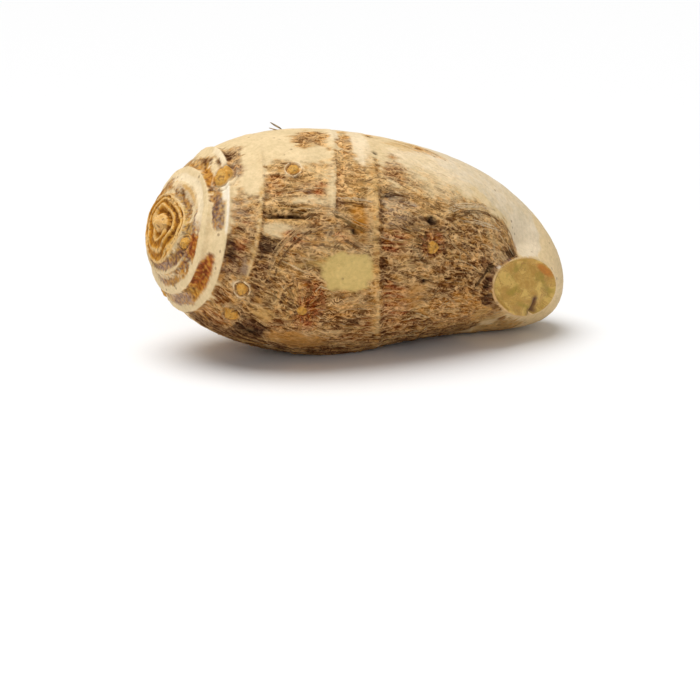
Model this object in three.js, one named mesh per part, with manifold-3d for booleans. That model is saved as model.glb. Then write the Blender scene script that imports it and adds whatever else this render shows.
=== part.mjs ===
import * as THREE from 'three';
import Module from 'manifold-3d';
import { mergeVertices } from 'three/addons/utils/BufferGeometryUtils.js';

// A taro cormel lying on its side, one solid. Millimetres, +Z up.
// The growing tip points to -X and the scar where it broke from the parent corm is at the +X end.
// The origin ends up under the middle of its box, on the surface it rests on.
//
// A point of the skin has two angles in degrees: psi runs from 0 at the growing tip to 180 at the
// scar end, and theta runs round the root from 0 on top through 90 at the front (-Y) to 180 below.

// Driving dimensions of the body
const halfLength = 62.1;
const girthRadius = 29.35;
const girthTaper = [1, -0.284, 0.14, 0.138, 0.031]; // factors of 1, u, u2, u3, u4 along the body
const sideSway = 3.9; // both ends sway to +Y
const topSag = 6.2; // both ends droop
const topDroop = 5.9; // the scar end droops further than the tip
const noseUp = 6.2; // degrees that the tip is lifted
const tipLean = [0.105, 0.116]; // how far the growing point sits to the front and up
const scarLean = [0.99, -0.224]; // the same for the scar end
const ringSkew = 0.141; // rings slant forward on the front side
const endBend = 5; // the scar end bends towards the neck's axis
const swellCentre = [0.75, 0.8, -0.5]; // swellings push away from this axis
const groundLevel = -28.95; // height of the resting plane below the body's centre

// Broad swellings and hollows: psi, theta, angular width, height
const swellings = [
  [14, 20, 18, -4.2], [34, 0, 18, -0.3], [44, 172, 14, -0.8], [64, 168, 14, -0.5],
  [83, 166, 14, 1.2], [88, -4, 18, -0.45], [106, 168, 16, -0.5], [120, -8, 20, 0.4],
  [134, 168, 16, -1], [150, 10, 18, -3.8], [100, 202, 18, 1.1], [70, 270, 16, 0.8],
  [112, 248, 18, -0.7], [95, 305, 14, 0.6], [40, 235, 14, 0.6],
];

// Leaf scars that ring the body: mean psi, slant in degrees, theta where the slant is greatest,
// height, width of the raised band before the crest and of the step after it in degrees
const leafScars = [
  { at: 11.5, slant: 0.8, toward: 190, height: 1, band: 3, step: 1.8 },
  { at: 17.2, slant: 1.3, toward: 200, height: 0.6, band: 2, step: 1.6 },
  { at: 28.3, slant: 1.5, toward: 205, height: 0.8, band: 4.5, step: 1.5 },
  { at: 38, slant: 1.5, toward: 210, height: 0.7, band: 2.6, step: 1.4 },
  { at: 49, slant: 4, toward: 0, height: 0.5, band: 2.2, step: 1.3 },
  { at: 74.5, slant: 1.5, toward: 0, height: 0.4, band: 2.2, step: 1.3 },
  { at: 89.6, slant: 4, toward: 180, height: 0.7, band: 3, step: 1.4 },
  { at: 106.5, slant: 3, toward: 20, height: 0.4, band: 2.2, step: 1.4 },
  { at: 124, slant: 2, toward: 270, height: 0.3, band: 2.4, step: 1.6 },
];
const ringWobble = 0.5; // degrees, three waves round each ring
const stepDepth = 0.4; // how far the skin drops below a crest's foot, as a share of its height
const stepRecovery = 4; // degrees over which it comes back

// Neck and scar: the end is drawn out along the neck's axis and cut across
const neckAxis = new THREE.Vector3(-0.388, -0.898, 0.208).normalize();
const neckAcross = new THREE.Vector3(0.918, -0.396, 0);
const neckUp = new THREE.Vector3().crossVectors(neckAcross, neckAxis).negate();
const scarCentre = new THREE.Vector3(38.2, -20.3, -12.1);
const scarNormal = new THREE.Vector3(0.216, -0.974, 0.065).normalize();
const scarHalfWidth = 8.9;
const scarHalfHeight = 7.8;
const neckBlend = 0.6; // share of the scar's radius over which the neck runs out
const neckDepth = 12; // the far side of the end stays round
const scarLip = 0.7;
const scarDish = 0.5;

// Buds: psi, theta, radius, height
const buds = [
  [17, 105, 1.7, 1], [35.5, 30, 2.7, 1.3], [46.5, 116, 1.9, 1], [46.5, 138, 2.2, 1.1],
  [62, 39, 1.7, 0.9], [104, 81, 2, 1], [28, 262, 1.9, 1], [36, 216, 2.4, 1.2],
  [58, 232, 1.9, 1], [50, 300, 2.3, 1.1], [78, 330, 1.8, 0.9], [98, 214, 1.9, 1],
  [112, 296, 2.2, 1.1], [68, 118, 2.3, 1.2], [84, 264, 2.2, 1.2],
];
const budSides = 9;
const budLean = 0.25; // buds lean towards the tip
const budRoot = 1.4; // how deep their foot is sunk

// Shaggy mounds of fibre that two large buds stand on: psi, theta, radius in degrees, height
const mounds = [[68, 118, 9, 0.9], [84, 264, 8, 0.9]];
const degreesOfThetaPerPsi = 1.9; // a degree of theta is shorter on the skin than one of psi

// Patches rubbed smooth, without bark ribs: psi, theta, half widths in psi and theta
const smoothPatches = [
  [81, 96, 10, 13], [52, 8, 12, 26], [118, 2, 26, 34], [31, 92, 7, 9], [45, 45, 5, 12],
  [24, 20, 5, 60], [24, 200, 5, 70], [66, 205, 10, 16], [118, 225, 14, 20], [60, 275, 8, 14],
];
const ribHeight = 0.45;
const ribHollow = 0.35;
const ribLength = 9; // degrees of psi before a rib breaks
const patchSize = 26; // degrees, of the drifting patches where the bark is thicker

// Cuts: a fold and a crack as narrow wedges, and pits where rootlets were
const foldCut = { psi: [51.5, 67], theta: 68, width: 1.7, depth: 1.7 };
const crackCut = { from: [3.3, -3.6], to: [0.4, -9], width: 1.3, depth: 2.2 };
const pits = [[103.5, 66, 1.1, 2], [102.5, 101, 0.8, 1.5], [87, 27, 0.7, 1.2], [64, 300, 0.9, 1.5]];

// Mesh: columns round the body and rows between neighbouring leaf scars
const columns = 96;
const rowsBetween = [3, 1, 3, 2, 4, 8, 4, 5, 5, 5, 4];
const columnShare = [4, 2, 2, 1, 1, 1, 1, 1, 1, 1, 2];
const columnJitter = 0.22;

const radians = THREE.MathUtils.degToRad;
const smooth = (t) => THREE.MathUtils.smoothstep(t, 0, 1);

// Evenly scattered number from 0 to 1 for three whole numbers
function scatter(i, j, k) {
  let h = Math.imul(i, 374761393) + Math.imul(j, 668265263) + Math.imul(k, 1274126177);
  h = Math.imul(h ^ (h >>> 13), 1103515245);
  h = Math.imul(h ^ (h >>> 15), 668265263);
  return ((h ^ (h >>> 16)) >>> 0) / 4294967296;
}

// Smooth noise from 0 to 1: scattered corner values of the unit cell, blended with smooth steps
function noise(x, y, z) {
  const cell = [Math.floor(x), Math.floor(y), Math.floor(z)];
  const t = [smooth(x - cell[0]), smooth(y - cell[1]), smooth(z - cell[2])];
  let sum = 0;
  for (let corner = 0; corner < 8; corner += 1) {
    const bit = [corner & 1, (corner >> 1) & 1, corner >> 2];
    const weight = bit.reduce((w, b, axis) => w * (b ? t[axis] : 1 - t[axis]), 1);
    sum += weight * scatter(cell[0] + bit[0], cell[1] + bit[1], cell[2] + bit[2]);
  }
  return sum;
}

// Direction on the unit sphere: the tip is at -X, theta 0 is up and theta 90 faces -Y
function direction(psi, theta) {
  const p = radians(psi);
  const t = radians(theta);
  return new THREE.Vector3(-Math.cos(p), -Math.sin(p) * Math.sin(t), Math.sin(p) * Math.cos(t));
}

const swellingDirections = swellings.map(([psi, theta]) => direction(psi, theta));

// Height of all swellings: each falls off as exp(-(1 - cos angle) / (1 - cos width))
function swell(n) {
  return swellings.reduce((sum, [, , width, height], k) => {
    const spread = 1 - Math.cos(radians(width));
    return sum + height * Math.exp(-(1 - n.dot(swellingDirections[k])) / spread);
  }, 0);
}

// Distance from the scar's centre across the neck's axis, 1 on its rim, and depth along the axis
function neckPlace(point) {
  const away = point.clone().sub(scarCentre);
  const across = away.dot(neckAcross) / scarHalfWidth;
  const up = away.dot(neckUp) / scarHalfHeight;
  return { radius: Math.hypot(across, up), depth: -away.dot(neckAxis) };
}

// Body before the neck is drawn out. The sphere direction leans at both ends and is skewed, then
// x = a u, y = b f(u) m.y + sway u2, z = b f(u) m.z - sag u2 - droop u3, turned nose up.
function roundBody(psi, theta) {
  const n = direction(psi, theta);
  const nearTip = Math.max(-n.x, 0) ** 2;
  const nearScar = Math.max(n.x, 0) ** 2;
  const m = n.clone();
  m.y -= nearTip * tipLean[0] + nearScar * scarLean[0];
  m.z += nearTip * tipLean[1] + nearScar * scarLean[1];
  m.x += ringSkew * n.y;
  m.normalize();
  const u = m.x;
  const girth = girthRadius * girthTaper.reduce((sum, c, power) => sum + c * u ** power, 0);
  const point = new THREE.Vector3(
    halfLength * u,
    girth * m.y + sideSway * u * u,
    girth * m.z - topSag * u * u - topDroop * u ** 3,
  );
  point.applyAxisAngle(new THREE.Vector3(0, 1, 0), radians(noseUp));
  const outward = point.clone();
  outward.sub(new THREE.Vector3(swellCentre[0] * point.x, swellCentre[1], swellCentre[2]));
  point.addScaledVector(outward.normalize(), swell(n));
  return point.addScaledVector(neckAxis, endBend * smooth((u - 0.5) / 0.5));
}

// Body with its neck: points near the scar slide along the neck's axis onto the cut
function bodyPoint(psi, theta) {
  const point = roundBody(psi, theta);
  const place = neckPlace(point);
  const slide = scarCentre.clone().sub(point).dot(scarNormal) / neckAxis.dot(scarNormal);
  const hold = 1 - smooth((place.radius - 1) / neckBlend);
  const facing = 1 - smooth((place.depth - 2) / neckDepth);
  return point.addScaledVector(neckAxis, slide * hold * facing);
}

// Outward normal from two small steps along the angles
function bodyNormal(psi, theta) {
  const step = 0.4;
  const p = THREE.MathUtils.clamp(psi, step, 180 - step);
  const along = bodyPoint(p + step, theta).sub(bodyPoint(p - step, theta));
  const round = bodyPoint(p, theta + step).sub(bodyPoint(p, theta - step));
  return along.cross(round).normalize().negate();
}

// Where the scar's rim crosses a meridian: the first angle from the end that is off the cut
function scarRim(theta) {
  let psi = 180;
  while (neckPlace(roundBody(psi, theta)).radius < 1) psi -= 0.25;
  return psi;
}

function ringAngle(ring, theta) {
  const wobble = ringWobble * Math.sin(radians(3 * theta + 40 * ring.at));
  return ring.at + ring.slant * Math.cos(radians(theta - ring.toward)) + wobble;
}

// Relief of one leaf scar: a slow rise to the crest, a sharp step down, then a slow recovery
function ringRelief(ring, psi, theta) {
  const past = psi - ringAngle(ring, theta);
  if (past <= 0) return ring.height * smooth(1 + past / ring.band);
  if (past < ring.step) return ring.height * (1 - (1 + stepDepth) * (past / ring.step));
  return -ring.height * stepDepth * (1 - smooth((past - ring.step) / stepRecovery));
}

function angleBetween(a, b) {
  return THREE.MathUtils.euclideanModulo(a - b + 180, 360) - 180;
}

// 1 in the middle of a smooth patch and 0 outside it
function rubbedSmooth(psi, theta) {
  return smoothPatches.reduce((most, [atPsi, atTheta, halfPsi, halfTheta]) => {
    const off = Math.hypot((psi - atPsi) / halfPsi, angleBetween(theta, atTheta) / halfTheta);
    return Math.max(most, 1 - smooth((off - 0.7) / 0.5));
  }, 0);
}

// How rough the bark is, from smooth skin at 0 to ribbed bark at 1
function barkiness(psi, theta) {
  const n = direction(psi, theta).multiplyScalar(90 / patchSize);
  const patchy = smooth((noise(n.x + 20, n.y + 20, n.z + 20) - 0.3) / 0.25);
  const ends = smooth((psi - 24) / 8) * (1 - smooth((psi - 165) / 10));
  return patchy * ends * (1 - rubbedSmooth(psi, theta));
}

// Bark ribs: neighbouring columns stand up and lie low in turn, and each rib breaks off and
// starts again along the body
function ribRelief(psi, theta, column) {
  const run = Math.floor(psi / ribLength + 7 * scatter(column, 3, 1));
  const strength = 0.35 + 0.65 * scatter(column, run, 5);
  const height = column % 2 ? ribHeight * strength : -ribHollow * strength;
  return height * barkiness(psi, theta);
}

function moundRelief(psi, theta) {
  return mounds.reduce((sum, [atPsi, atTheta, radius, height]) => {
    const round = angleBetween(theta, atTheta) / degreesOfThetaPerPsi;
    const off = Math.hypot(psi - atPsi, round) / radius;
    return sum + height * (1 - smooth((off - 0.35) / 0.65));
  }, 0);
}

// The growing tip: a small blunt knob in a ring-shaped hollow
function tipRelief(psi) {
  return 1.3 * (1 - smooth((psi - 1) / 4.5)) - 0.9 * smooth(psi / 5) * (1 - smooth((psi - 6) / 4));
}

// The scar's raised lip and its slightly hollow, uneven face
function scarRelief(psi, theta, rim) {
  const inside = (psi - rim) / (180 - rim);
  if (inside < 0) return scarLip * smooth(1 + (psi - rim) / 3);
  const uneven = 0.35 * (noise(psi / 9, theta / 24, 4) - 0.5);
  return scarLip - (scarLip + scarDish + uneven) * smooth(inside / 0.16);
}

function skinPoint(psi, theta, column, rim) {
  const rings = leafScars.reduce((sum, ring) => sum + ringRelief(ring, psi, theta), 0);
  const onScar = scarRelief(psi, theta, rim);
  const outside = 1 - smooth((psi - rim + 6) / 6);
  const relief = (rings + ribRelief(psi, theta, column) + moundRelief(psi, theta)) * outside
    + tipRelief(psi) + onScar;
  const point = bodyPoint(psi, theta).addScaledVector(bodyNormal(psi, theta), relief);
  point.z = Math.max(point.z, groundLevel);
  return point;
}

// Angles of every row along one meridian, so that rows follow each crest and its foot
function rowAngles(theta, rim) {
  const lines = [0, ...leafScars.map((ring) => ringAngle(ring, theta)), rim, 180];
  const angles = [];
  for (let k = 0; k + 1 < lines.length; k += 1) {
    const step = k > 0 && k <= leafScars.length ? leafScars[k - 1].step : 2;
    const band = k < leafScars.length ? leafScars[k].band : 2;
    const start = lines[k] + step;
    const end = lines[k + 1] - band;
    const count = rowsBetween[k];
    for (let i = 0; i < count; i += 1) {
      angles.push(count === 1 ? (start + end) / 2 : start + (end - start) * i / (count - 1));
    }
    if (k + 2 < lines.length) angles.push(lines[k + 1]);
  }
  return angles;
}

// Columns that each row uses: every one on the body, every second or fourth near the ends
function rowShares() {
  return rowsBetween.flatMap((count, k) => {
    const last = k + 1 === rowsBetween.length;
    return new Array(count + (last ? 0 : 1)).fill(columnShare[k]);
  });
}

// Triangles between two neighbouring rows with equal, double or half the number of points
function stitch(triangles, rowA, rowB) {
  const count = Math.min(rowA.length, rowB.length);
  for (let j = 0; j < count; j += 1) {
    const next = (j + 1) % count;
    if (rowA.length === rowB.length) {
      triangles.push(rowA[j], rowA[next], rowB[next], rowA[j], rowB[next], rowB[j]);
    } else {
      const fineIsB = rowB.length > rowA.length;
      const fine = fineIsB ? rowB : rowA;
      const coarse = fineIsB ? rowA : rowB;
      const [f0, f1, f2] = [fine[2 * j], fine[2 * j + 1], fine[(2 * j + 2) % fine.length]];
      const [c0, c1] = [coarse[j], coarse[next]];
      const fan = [c0, c1, f1, c1, f2, f1, c0, f1, f0];
      triangles.push(...(fineIsB ? fan : fan.reverse()));
    }
  }
}

function bodyMesh() {
  const points = [];
  const shares = rowShares();
  const rows = shares.map(() => []);
  for (let column = 0; column < columns; column += 1) {
    const jitter = columnJitter * (scatter(column, 11, 2) - 0.5);
    const theta = (360 * (column + jitter)) / columns;
    const rim = scarRim(theta);
    rowAngles(theta, rim).forEach((psi, row) => {
      if (column % shares[row] === 0) {
        rows[row].push(points.length);
        points.push(skinPoint(psi, theta, column, rim));
      }
    });
  }
  const tip = points.push(skinPoint(0, 0, 0, scarRim(0))) - 1;
  const end = points.push(skinPoint(180, 0, 0, scarRim(0))) - 1;
  const triangles = [];
  const last = rows[rows.length - 1];
  rows[0].forEach((a, j) => triangles.push(tip, rows[0][(j + 1) % rows[0].length], a));
  for (let row = 0; row + 1 < rows.length; row += 1) stitch(triangles, rows[row], rows[row + 1]);
  last.forEach((a, j) => triangles.push(end, a, last[(j + 1) % last.length]));
  return { points, triangles };
}

// Frame on the skin: where, outward, towards the scar end, and round
function skinFrame(psi, theta) {
  const out = bodyNormal(psi, theta);
  const along = bodyPoint(psi + 0.5, theta).sub(bodyPoint(psi - 0.5, theta));
  along.addScaledVector(out, -along.dot(out)).normalize();
  const round = new THREE.Vector3().crossVectors(out, along);
  const lift = leafScars.reduce((sum, ring) => sum + ringRelief(ring, psi, theta), 0)
    + moundRelief(psi, theta);
  return { at: bodyPoint(psi, theta).addScaledVector(out, lift), out, along, round };
}

// Closed form of stacked rings, from a sunk foot to a point on top: [radius, height] per ring
function stackedRings(frame, profile, sides, lean, topHeight) {
  const points = [];
  const place = (radius, height, angle) => frame.at.clone()
    .addScaledVector(frame.along, radius * Math.cos(angle) - lean * Math.max(height, 0))
    .addScaledVector(frame.round, radius * Math.sin(angle))
    .addScaledVector(frame.out, height);
  for (const [radius, height] of profile) {
    for (let j = 0; j < sides; j += 1) {
      points.push(place(radius, height, (2 * Math.PI * j) / sides));
    }
  }
  const foot = points.push(place(0, profile[0][1], 0)) - 1;
  const top = points.push(place(0, topHeight, 0)) - 1;
  const triangles = [];
  const lastRing = (profile.length - 1) * sides;
  for (let j = 0; j < sides; j += 1) {
    const next = (j + 1) % sides;
    triangles.push(foot, next, j, top, lastRing + j, lastRing + next);
    for (let ring = 0; ring + 1 < profile.length; ring += 1) {
      const [a, b] = [ring * sides + j, ring * sides + next];
      triangles.push(a, b, b + sides, a, b + sides, a + sides);
    }
  }
  return { points, triangles };
}

// A bud: a collar, a shallow moat and a blunt dome
function budMesh([psi, theta, radius, height]) {
  const profile = [
    [radius * 0.9, -budRoot], [radius * 1.05, 0.35 * height], [radius * 0.8, 0.3 * height],
    [radius * 0.5, 0.85 * height],
  ];
  return stackedRings(skinFrame(psi, theta), profile, budSides, budLean, height);
}

// A pit: a narrow cone pointing into the skin, given as a tool that is cut away
function pitTool([psi, theta, radius, depth]) {
  const frame = skinFrame(psi, theta);
  frame.at.addScaledVector(frame.out, -depth);
  return stackedRings(frame, [[radius * 0.3, 0], [radius, depth], [radius * 1.2, depth + 1]], 6, 0,
    depth + 1.2);
}

// A wedge-shaped cut: four-sided sections along a path, closed to a point at both ends
function wedgeTool(frames, width, depth) {
  const points = [];
  frames.forEach((frame, k) => {
    const share = Math.sin((Math.PI * (k + 0.5)) / frames.length);
    const half = (width * share) / 2;
    const corner = (side, height) => frame.at.clone()
      .addScaledVector(frame.side, side).addScaledVector(frame.out, height);
    points.push(corner(0, -depth * share), corner(half, 0.2), corner(half * 1.3, 2),
      corner(-half * 1.3, 2), corner(-half, 0.2));
  });
  const sides = 5;
  const triangles = [];
  for (let k = 0; k + 1 < frames.length; k += 1) {
    for (let j = 0; j < sides; j += 1) {
      const [a, b] = [k * sides + j, k * sides + (j + 1) % sides];
      triangles.push(a, b, b + sides, a, b + sides, a + sides);
    }
  }
  for (let j = 1; j + 1 < sides; j += 1) {
    const end = (frames.length - 1) * sides;
    triangles.push(0, j + 1, j, end, end + j, end + j + 1);
  }
  return { points, triangles };
}

function foldTool() {
  const steps = 7;
  const frames = Array.from({ length: steps }, (_, k) => {
    const psi = THREE.MathUtils.lerp(foldCut.psi[0], foldCut.psi[1], k / (steps - 1));
    const frame = skinFrame(psi, foldCut.theta + 1.2 * Math.sin(k));
    return { at: frame.at, out: frame.out, side: frame.round };
  });
  return wedgeTool(frames, foldCut.width, foldCut.depth);
}

function crackTool() {
  const steps = 5;
  const frames = Array.from({ length: steps }, (_, k) => {
    const share = k / (steps - 1);
    const across = THREE.MathUtils.lerp(crackCut.from[0], crackCut.to[0], share);
    const up = THREE.MathUtils.lerp(crackCut.from[1], crackCut.to[1], share);
    const bow = 0.6 * Math.sin(Math.PI * share);
    const at = scarCentre.clone().addScaledVector(neckUp, up)
      .addScaledVector(neckAcross, across - bow);
    const slide = scarCentre.clone().sub(at).dot(scarNormal) / neckAxis.dot(scarNormal);
    at.addScaledVector(neckAxis, slide);
    return { at, out: scarNormal, side: neckAcross };
  });
  return wedgeTool(frames, crackCut.width, crackCut.depth);
}

const wasm = await Module();
wasm.setup();

function indexedGeometry({ points, triangles }) {
  const geometry = new THREE.BufferGeometry().setFromPoints(points);
  geometry.setIndex(triangles);
  return geometry;
}

// Closed solid from a mesh; a mesh whose faces point inwards is turned right way round
function solidOf(mesh) {
  const merged = mergeVertices(indexedGeometry(mesh), 1e-5);
  const positions = merged.getAttribute('position');
  const index = Array.from(merged.getIndex().array);
  const [a, b, c] = [new THREE.Vector3(), new THREE.Vector3(), new THREE.Vector3()];
  let sixfoldVolume = 0;
  for (let t = 0; t < index.length; t += 3) {
    a.fromBufferAttribute(positions, index[t]);
    b.fromBufferAttribute(positions, index[t + 1]);
    c.fromBufferAttribute(positions, index[t + 2]);
    sixfoldVolume += a.dot(b.cross(c));
  }
  if (sixfoldVolume < 0) index.reverse();
  return new wasm.Manifold(new wasm.Mesh({
    numProp: 3,
    vertProperties: new Float32Array(positions.array),
    triVerts: new Uint32Array(index),
  }));
}

function taroSolid() {
  let solid = solidOf(bodyMesh());
  for (const bud of buds) solid = solid.add(solidOf(budMesh(bud)));
  for (const pit of pits) solid = solid.subtract(solidOf(pitTool(pit)));
  return solid.subtract(solidOf(foldTool())).subtract(solidOf(crackTool()));
}

// Geometry of the finished solid, moved so that the origin is under the middle of its box
function taroGeometry() {
  const { vertProperties, triVerts } = taroSolid().getMesh();
  const geometry = new THREE.BufferGeometry();
  geometry.setAttribute('position', new THREE.BufferAttribute(vertProperties, 3));
  geometry.setIndex(new THREE.BufferAttribute(triVerts, 1));
  geometry.computeBoundingBox();
  const middle = geometry.boundingBox.getCenter(new THREE.Vector3());
  geometry.translate(-middle.x, -middle.y, -geometry.boundingBox.min.z);
  geometry.computeVertexNormals();
  return geometry;
}

const skin = new THREE.MeshStandardMaterial({ color: '#9c7a4f', roughness: 0.85, metalness: 0 });
const taroRoot = new THREE.Mesh(taroGeometry(), skin);
taroRoot.name = 'taro_root';

const model = new THREE.Group();
model.add(taroRoot);

export default model;
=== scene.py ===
import math

import bpy
import numpy as np
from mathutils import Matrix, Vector


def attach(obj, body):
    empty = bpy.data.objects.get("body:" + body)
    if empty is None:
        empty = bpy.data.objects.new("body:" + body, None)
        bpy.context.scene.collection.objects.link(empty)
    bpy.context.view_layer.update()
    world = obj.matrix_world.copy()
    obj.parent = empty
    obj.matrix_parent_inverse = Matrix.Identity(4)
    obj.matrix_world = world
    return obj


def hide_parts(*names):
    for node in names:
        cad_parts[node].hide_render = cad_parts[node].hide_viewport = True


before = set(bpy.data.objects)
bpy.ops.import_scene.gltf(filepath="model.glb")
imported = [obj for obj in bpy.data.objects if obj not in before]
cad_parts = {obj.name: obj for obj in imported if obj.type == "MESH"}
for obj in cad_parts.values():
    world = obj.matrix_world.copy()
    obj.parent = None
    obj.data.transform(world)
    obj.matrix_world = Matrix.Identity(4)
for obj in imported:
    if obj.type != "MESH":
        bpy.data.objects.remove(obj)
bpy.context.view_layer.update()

metresPerMm = 0.001

# A point of the skin has two angles in degrees: psi runs from 0 at the growing tip to 180 at the
# scar end, and theta runs round the root from 0 on top through 90 at the front to 180 below.
# The form is worked out in millimetres about the body's middle.
form = {
    "halfLength": 62.1,
    "girth": 29.35,
    "taper": (1, -0.284, 0.14, 0.138, 0.031),  # factors of 1, u, u2, u3, u4 along the body
    "sway": 3.9,
    "sag": 6.2,
    "droop": 5.9,
    "noseUp": 6.2,  # degrees
    "tipLean": (0.105, 0.116),
    "scarLean": (0.99, -0.224),
    "skew": 0.141,
    "endBend": 5.0,
    "swellCentre": (0.75, 0.8, -0.5),
    "tipShift": (6.5, 266),  # degrees that the growing tip stands off the pole, and towards which theta
    "tipReach": 30,
    "ground": -28.95,  # resting plane below the body's middle
    "offset": (1.895, -0.391, 28.95),  # from the body's middle to the frame's origin
}

# Broad swellings and hollows: psi, theta, angular width, height
swellings = (
    (14, 20, 18, -4.2), (34, 0, 18, -0.3), (44, 172, 14, -0.8), (64, 168, 14, -0.5),
    (83, 166, 14, 1.2), (88, -4, 18, -0.45), (106, 168, 16, -0.5), (120, -8, 20, 0.4),
    (134, 168, 16, -1), (150, 10, 18, -3.8), (100, 202, 18, 1.1), (70, 270, 16, 0.8),
    (112, 248, 18, -0.7), (95, 305, 14, 0.6), (40, 235, 14, 0.6),
)

# Leaf scars: mean psi, slant, theta of greatest slant, height, band before and step after it
leafScars = (
    (15.0, 1.6, 190, 0.7, 1.8, 1.5), (20.8, 0.6, 170, 0.5, 1.8, 1.5),
    (28.3, 1.5, 250, 0.8, 4.5, 1.5), (38.0, 1.5, 320, 0.7, 2.6, 1.4),
    (49.0, 4.0, 0, 0.5, 2.2, 1.3), (74.5, 1.5, 0, 0.4, 2.2, 1.3),
    (89.6, 4.0, 180, 0.5, 3.0, 1.4), (106.5, 3.0, 20, 0.4, 2.2, 1.4),
    (124.0, 2.0, 270, 0.3, 2.4, 1.6),
)
ringWobble = 0.5

neck = {
    "axis": (-0.388, -0.898, 0.208),
    "across": (0.918, -0.396, 0.0),
    "centre": (38.2, -20.3, -12.1),
    "normal": (0.216, -0.974, 0.065),
    "halfWidth": 8.9,
    "halfHeight": 7.8,
    "blend": 0.6,
    "depth": 12.0,
    "lip": 0.55,
    "dish": 0.5,
}

# Buds: psi, theta, radius, height, share of the pale rim round them. The last ones are the bosses
# of the shaggy buds.
buds = (
    (18.6, 106, 1.7, 1.0, 0.1), (35.7, 29, 2.9, 1.3, 0.5), (46.8, 116, 1.6, 0.9, 1),
    (46.5, 138, 2.0, 1.0, 0.4), (62.3, 39.5, 1.6, 0.9, 1), (28, 262, 1.9, 1.0, 0.5),
    (36, 216, 2.4, 1.2, 0.6), (58, 232, 1.9, 1.0, 1), (50, 300, 2.3, 1.1, 0.7),
    (78, 330, 1.8, 0.9, 1), (98, 214, 1.9, 1.0, 0.5), (112, 296, 2.2, 1.1, 0.7),
    (68, 118, 1.3, 0.6, 0), (84, 264, 1.5, 0.8, 0), (104, 81, 1.7, 0.8, 0),
)
# Shaggy buds: psi, theta, radius in millimetres, height, share of grey fibres
mounds = ((68, 118, 6.8, 0.9, 1), (84, 264, 6.0, 0.9, 0.6), (104, 81, 4.0, 0.4, 0.1))
thetaPerPsi = 1.9  # degrees of theta about as long as one of psi
# Pits where rootlets were: psi, theta, radius, depth
pits = (
    (103.6, 66, 1.2, 1.4), (103, 101, 0.8, 1.1), (87.6, 28, 0.7, 0.9),
    (81.2, 75, 0.8, 0.8), (64, 300, 0.9, 1.1),
)
pitStretch = 1.5  # how much longer a pit is along the root
# The fold runs along one theta between two psi. The crack runs between two places on the scar, in
# millimetres across and up from its middle.
fold = {"from": 51.5, "to": 68.5, "theta": 67.8, "width": 0.9, "depth": 2.0}
crack = {"from": (3.6, -3.6), "to": (0.2, -10.6), "width": 0.7, "depth": 2.0}


def unit(v):
    return v / np.maximum(np.linalg.norm(v, axis=-1, keepdims=True), 1e-12)


def smoothStep(t):
    t = np.clip(t, 0, 1)
    return t * t * (3 - 2 * t)


def angleGap(a, b):
    return (a - b + 180) % 360 - 180


# Evenly scattered numbers from 0 to 1 for whole-number lattice points
def scatter(i, j, k, seed):
    h = (i * 374761393 + j * 668265263 + k * 1274126177 + seed * 2246822519) & 0xFFFFFFFF
    h = ((h ^ (h >> 13)) * 1103515245) & 0xFFFFFFFF
    h = ((h ^ (h >> 15)) * 668265263) & 0xFFFFFFFF
    return ((h ^ (h >> 16)) & 0xFFFFFF) / float(0xFFFFFF)


# Smooth noise from 0 to 1: lattice values blended by smooth steps along the three axes
def noise(points, seed=0):
    cell = np.floor(points).astype(np.int64)
    t = smoothStep(points - cell)
    total = np.zeros(points.shape[:-1])
    for corner in range(8):
        bit = np.array((corner & 1, (corner >> 1) & 1, corner >> 2))
        weight = np.prod(np.where(bit == 1, t, 1 - t), axis=-1)
        at = cell + bit
        total += weight * scatter(at[..., 0], at[..., 1], at[..., 2], seed)
    return total


# Sum of octaves, each twice as fine and half as strong, brought back to 0..1
def layeredNoise(points, octaves, seed=0):
    total = np.zeros(points.shape[:-1])
    weight = 0.0
    for octave in range(octaves):
        share = 0.5 ** octave
        total += share * noise(points * 2.0 ** octave + 17.3 * octave, seed + octave)
        weight += share
    return total / weight


# Direction on the unit sphere: (-cos psi, -sin psi sin theta, sin psi cos theta)
def direction(psi, theta):
    p, t = np.radians(psi), np.radians(theta)
    return np.stack((-np.cos(p) + 0 * t, -np.sin(p) * np.sin(t), np.sin(p) * np.cos(t)), axis=-1)


# Height of all swellings, each falling off as exp(-(1 - cos angle) / (1 - cos width))
def swell(n):
    total = np.zeros(n.shape[:-1])
    for psi, theta, width, height in swellings:
        away = 1 - n @ direction(np.float64(psi), np.float64(theta))
        total += height * np.exp(-away / (1 - math.cos(math.radians(width))))
    return total


neckAxis = unit(np.array(neck["axis"]))
neckAcross = np.array(neck["across"])
neckUp = -np.cross(neckAcross, neckAxis)
neckCentre = np.array(neck["centre"])
scarNormal = unit(np.array(neck["normal"]))


# Distance from the scar's centre across the neck, 1 on the rim, and depth along its axis
def neckPlace(points):
    away = points - neckCentre
    across = away @ neckAcross / neck["halfWidth"]
    up = away @ neckUp / neck["halfHeight"]
    return np.hypot(across, up), -(away @ neckAxis)


# Angles moved towards the off-centre growing tip: at psi cos theta, psi sin theta in the plane of
# polar angles, by a shift that fades with psi
def aroundTip(psi, theta):
    far, toward = form["tipShift"]
    far = far * (1 - smoothStep(psi / form["tipReach"]))
    turn = np.radians(theta)
    a = psi * np.cos(turn) + far * math.cos(math.radians(toward))
    b = psi * np.sin(turn) + far * math.sin(math.radians(toward))
    return np.hypot(a, b), np.degrees(np.arctan2(b, a))


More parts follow.
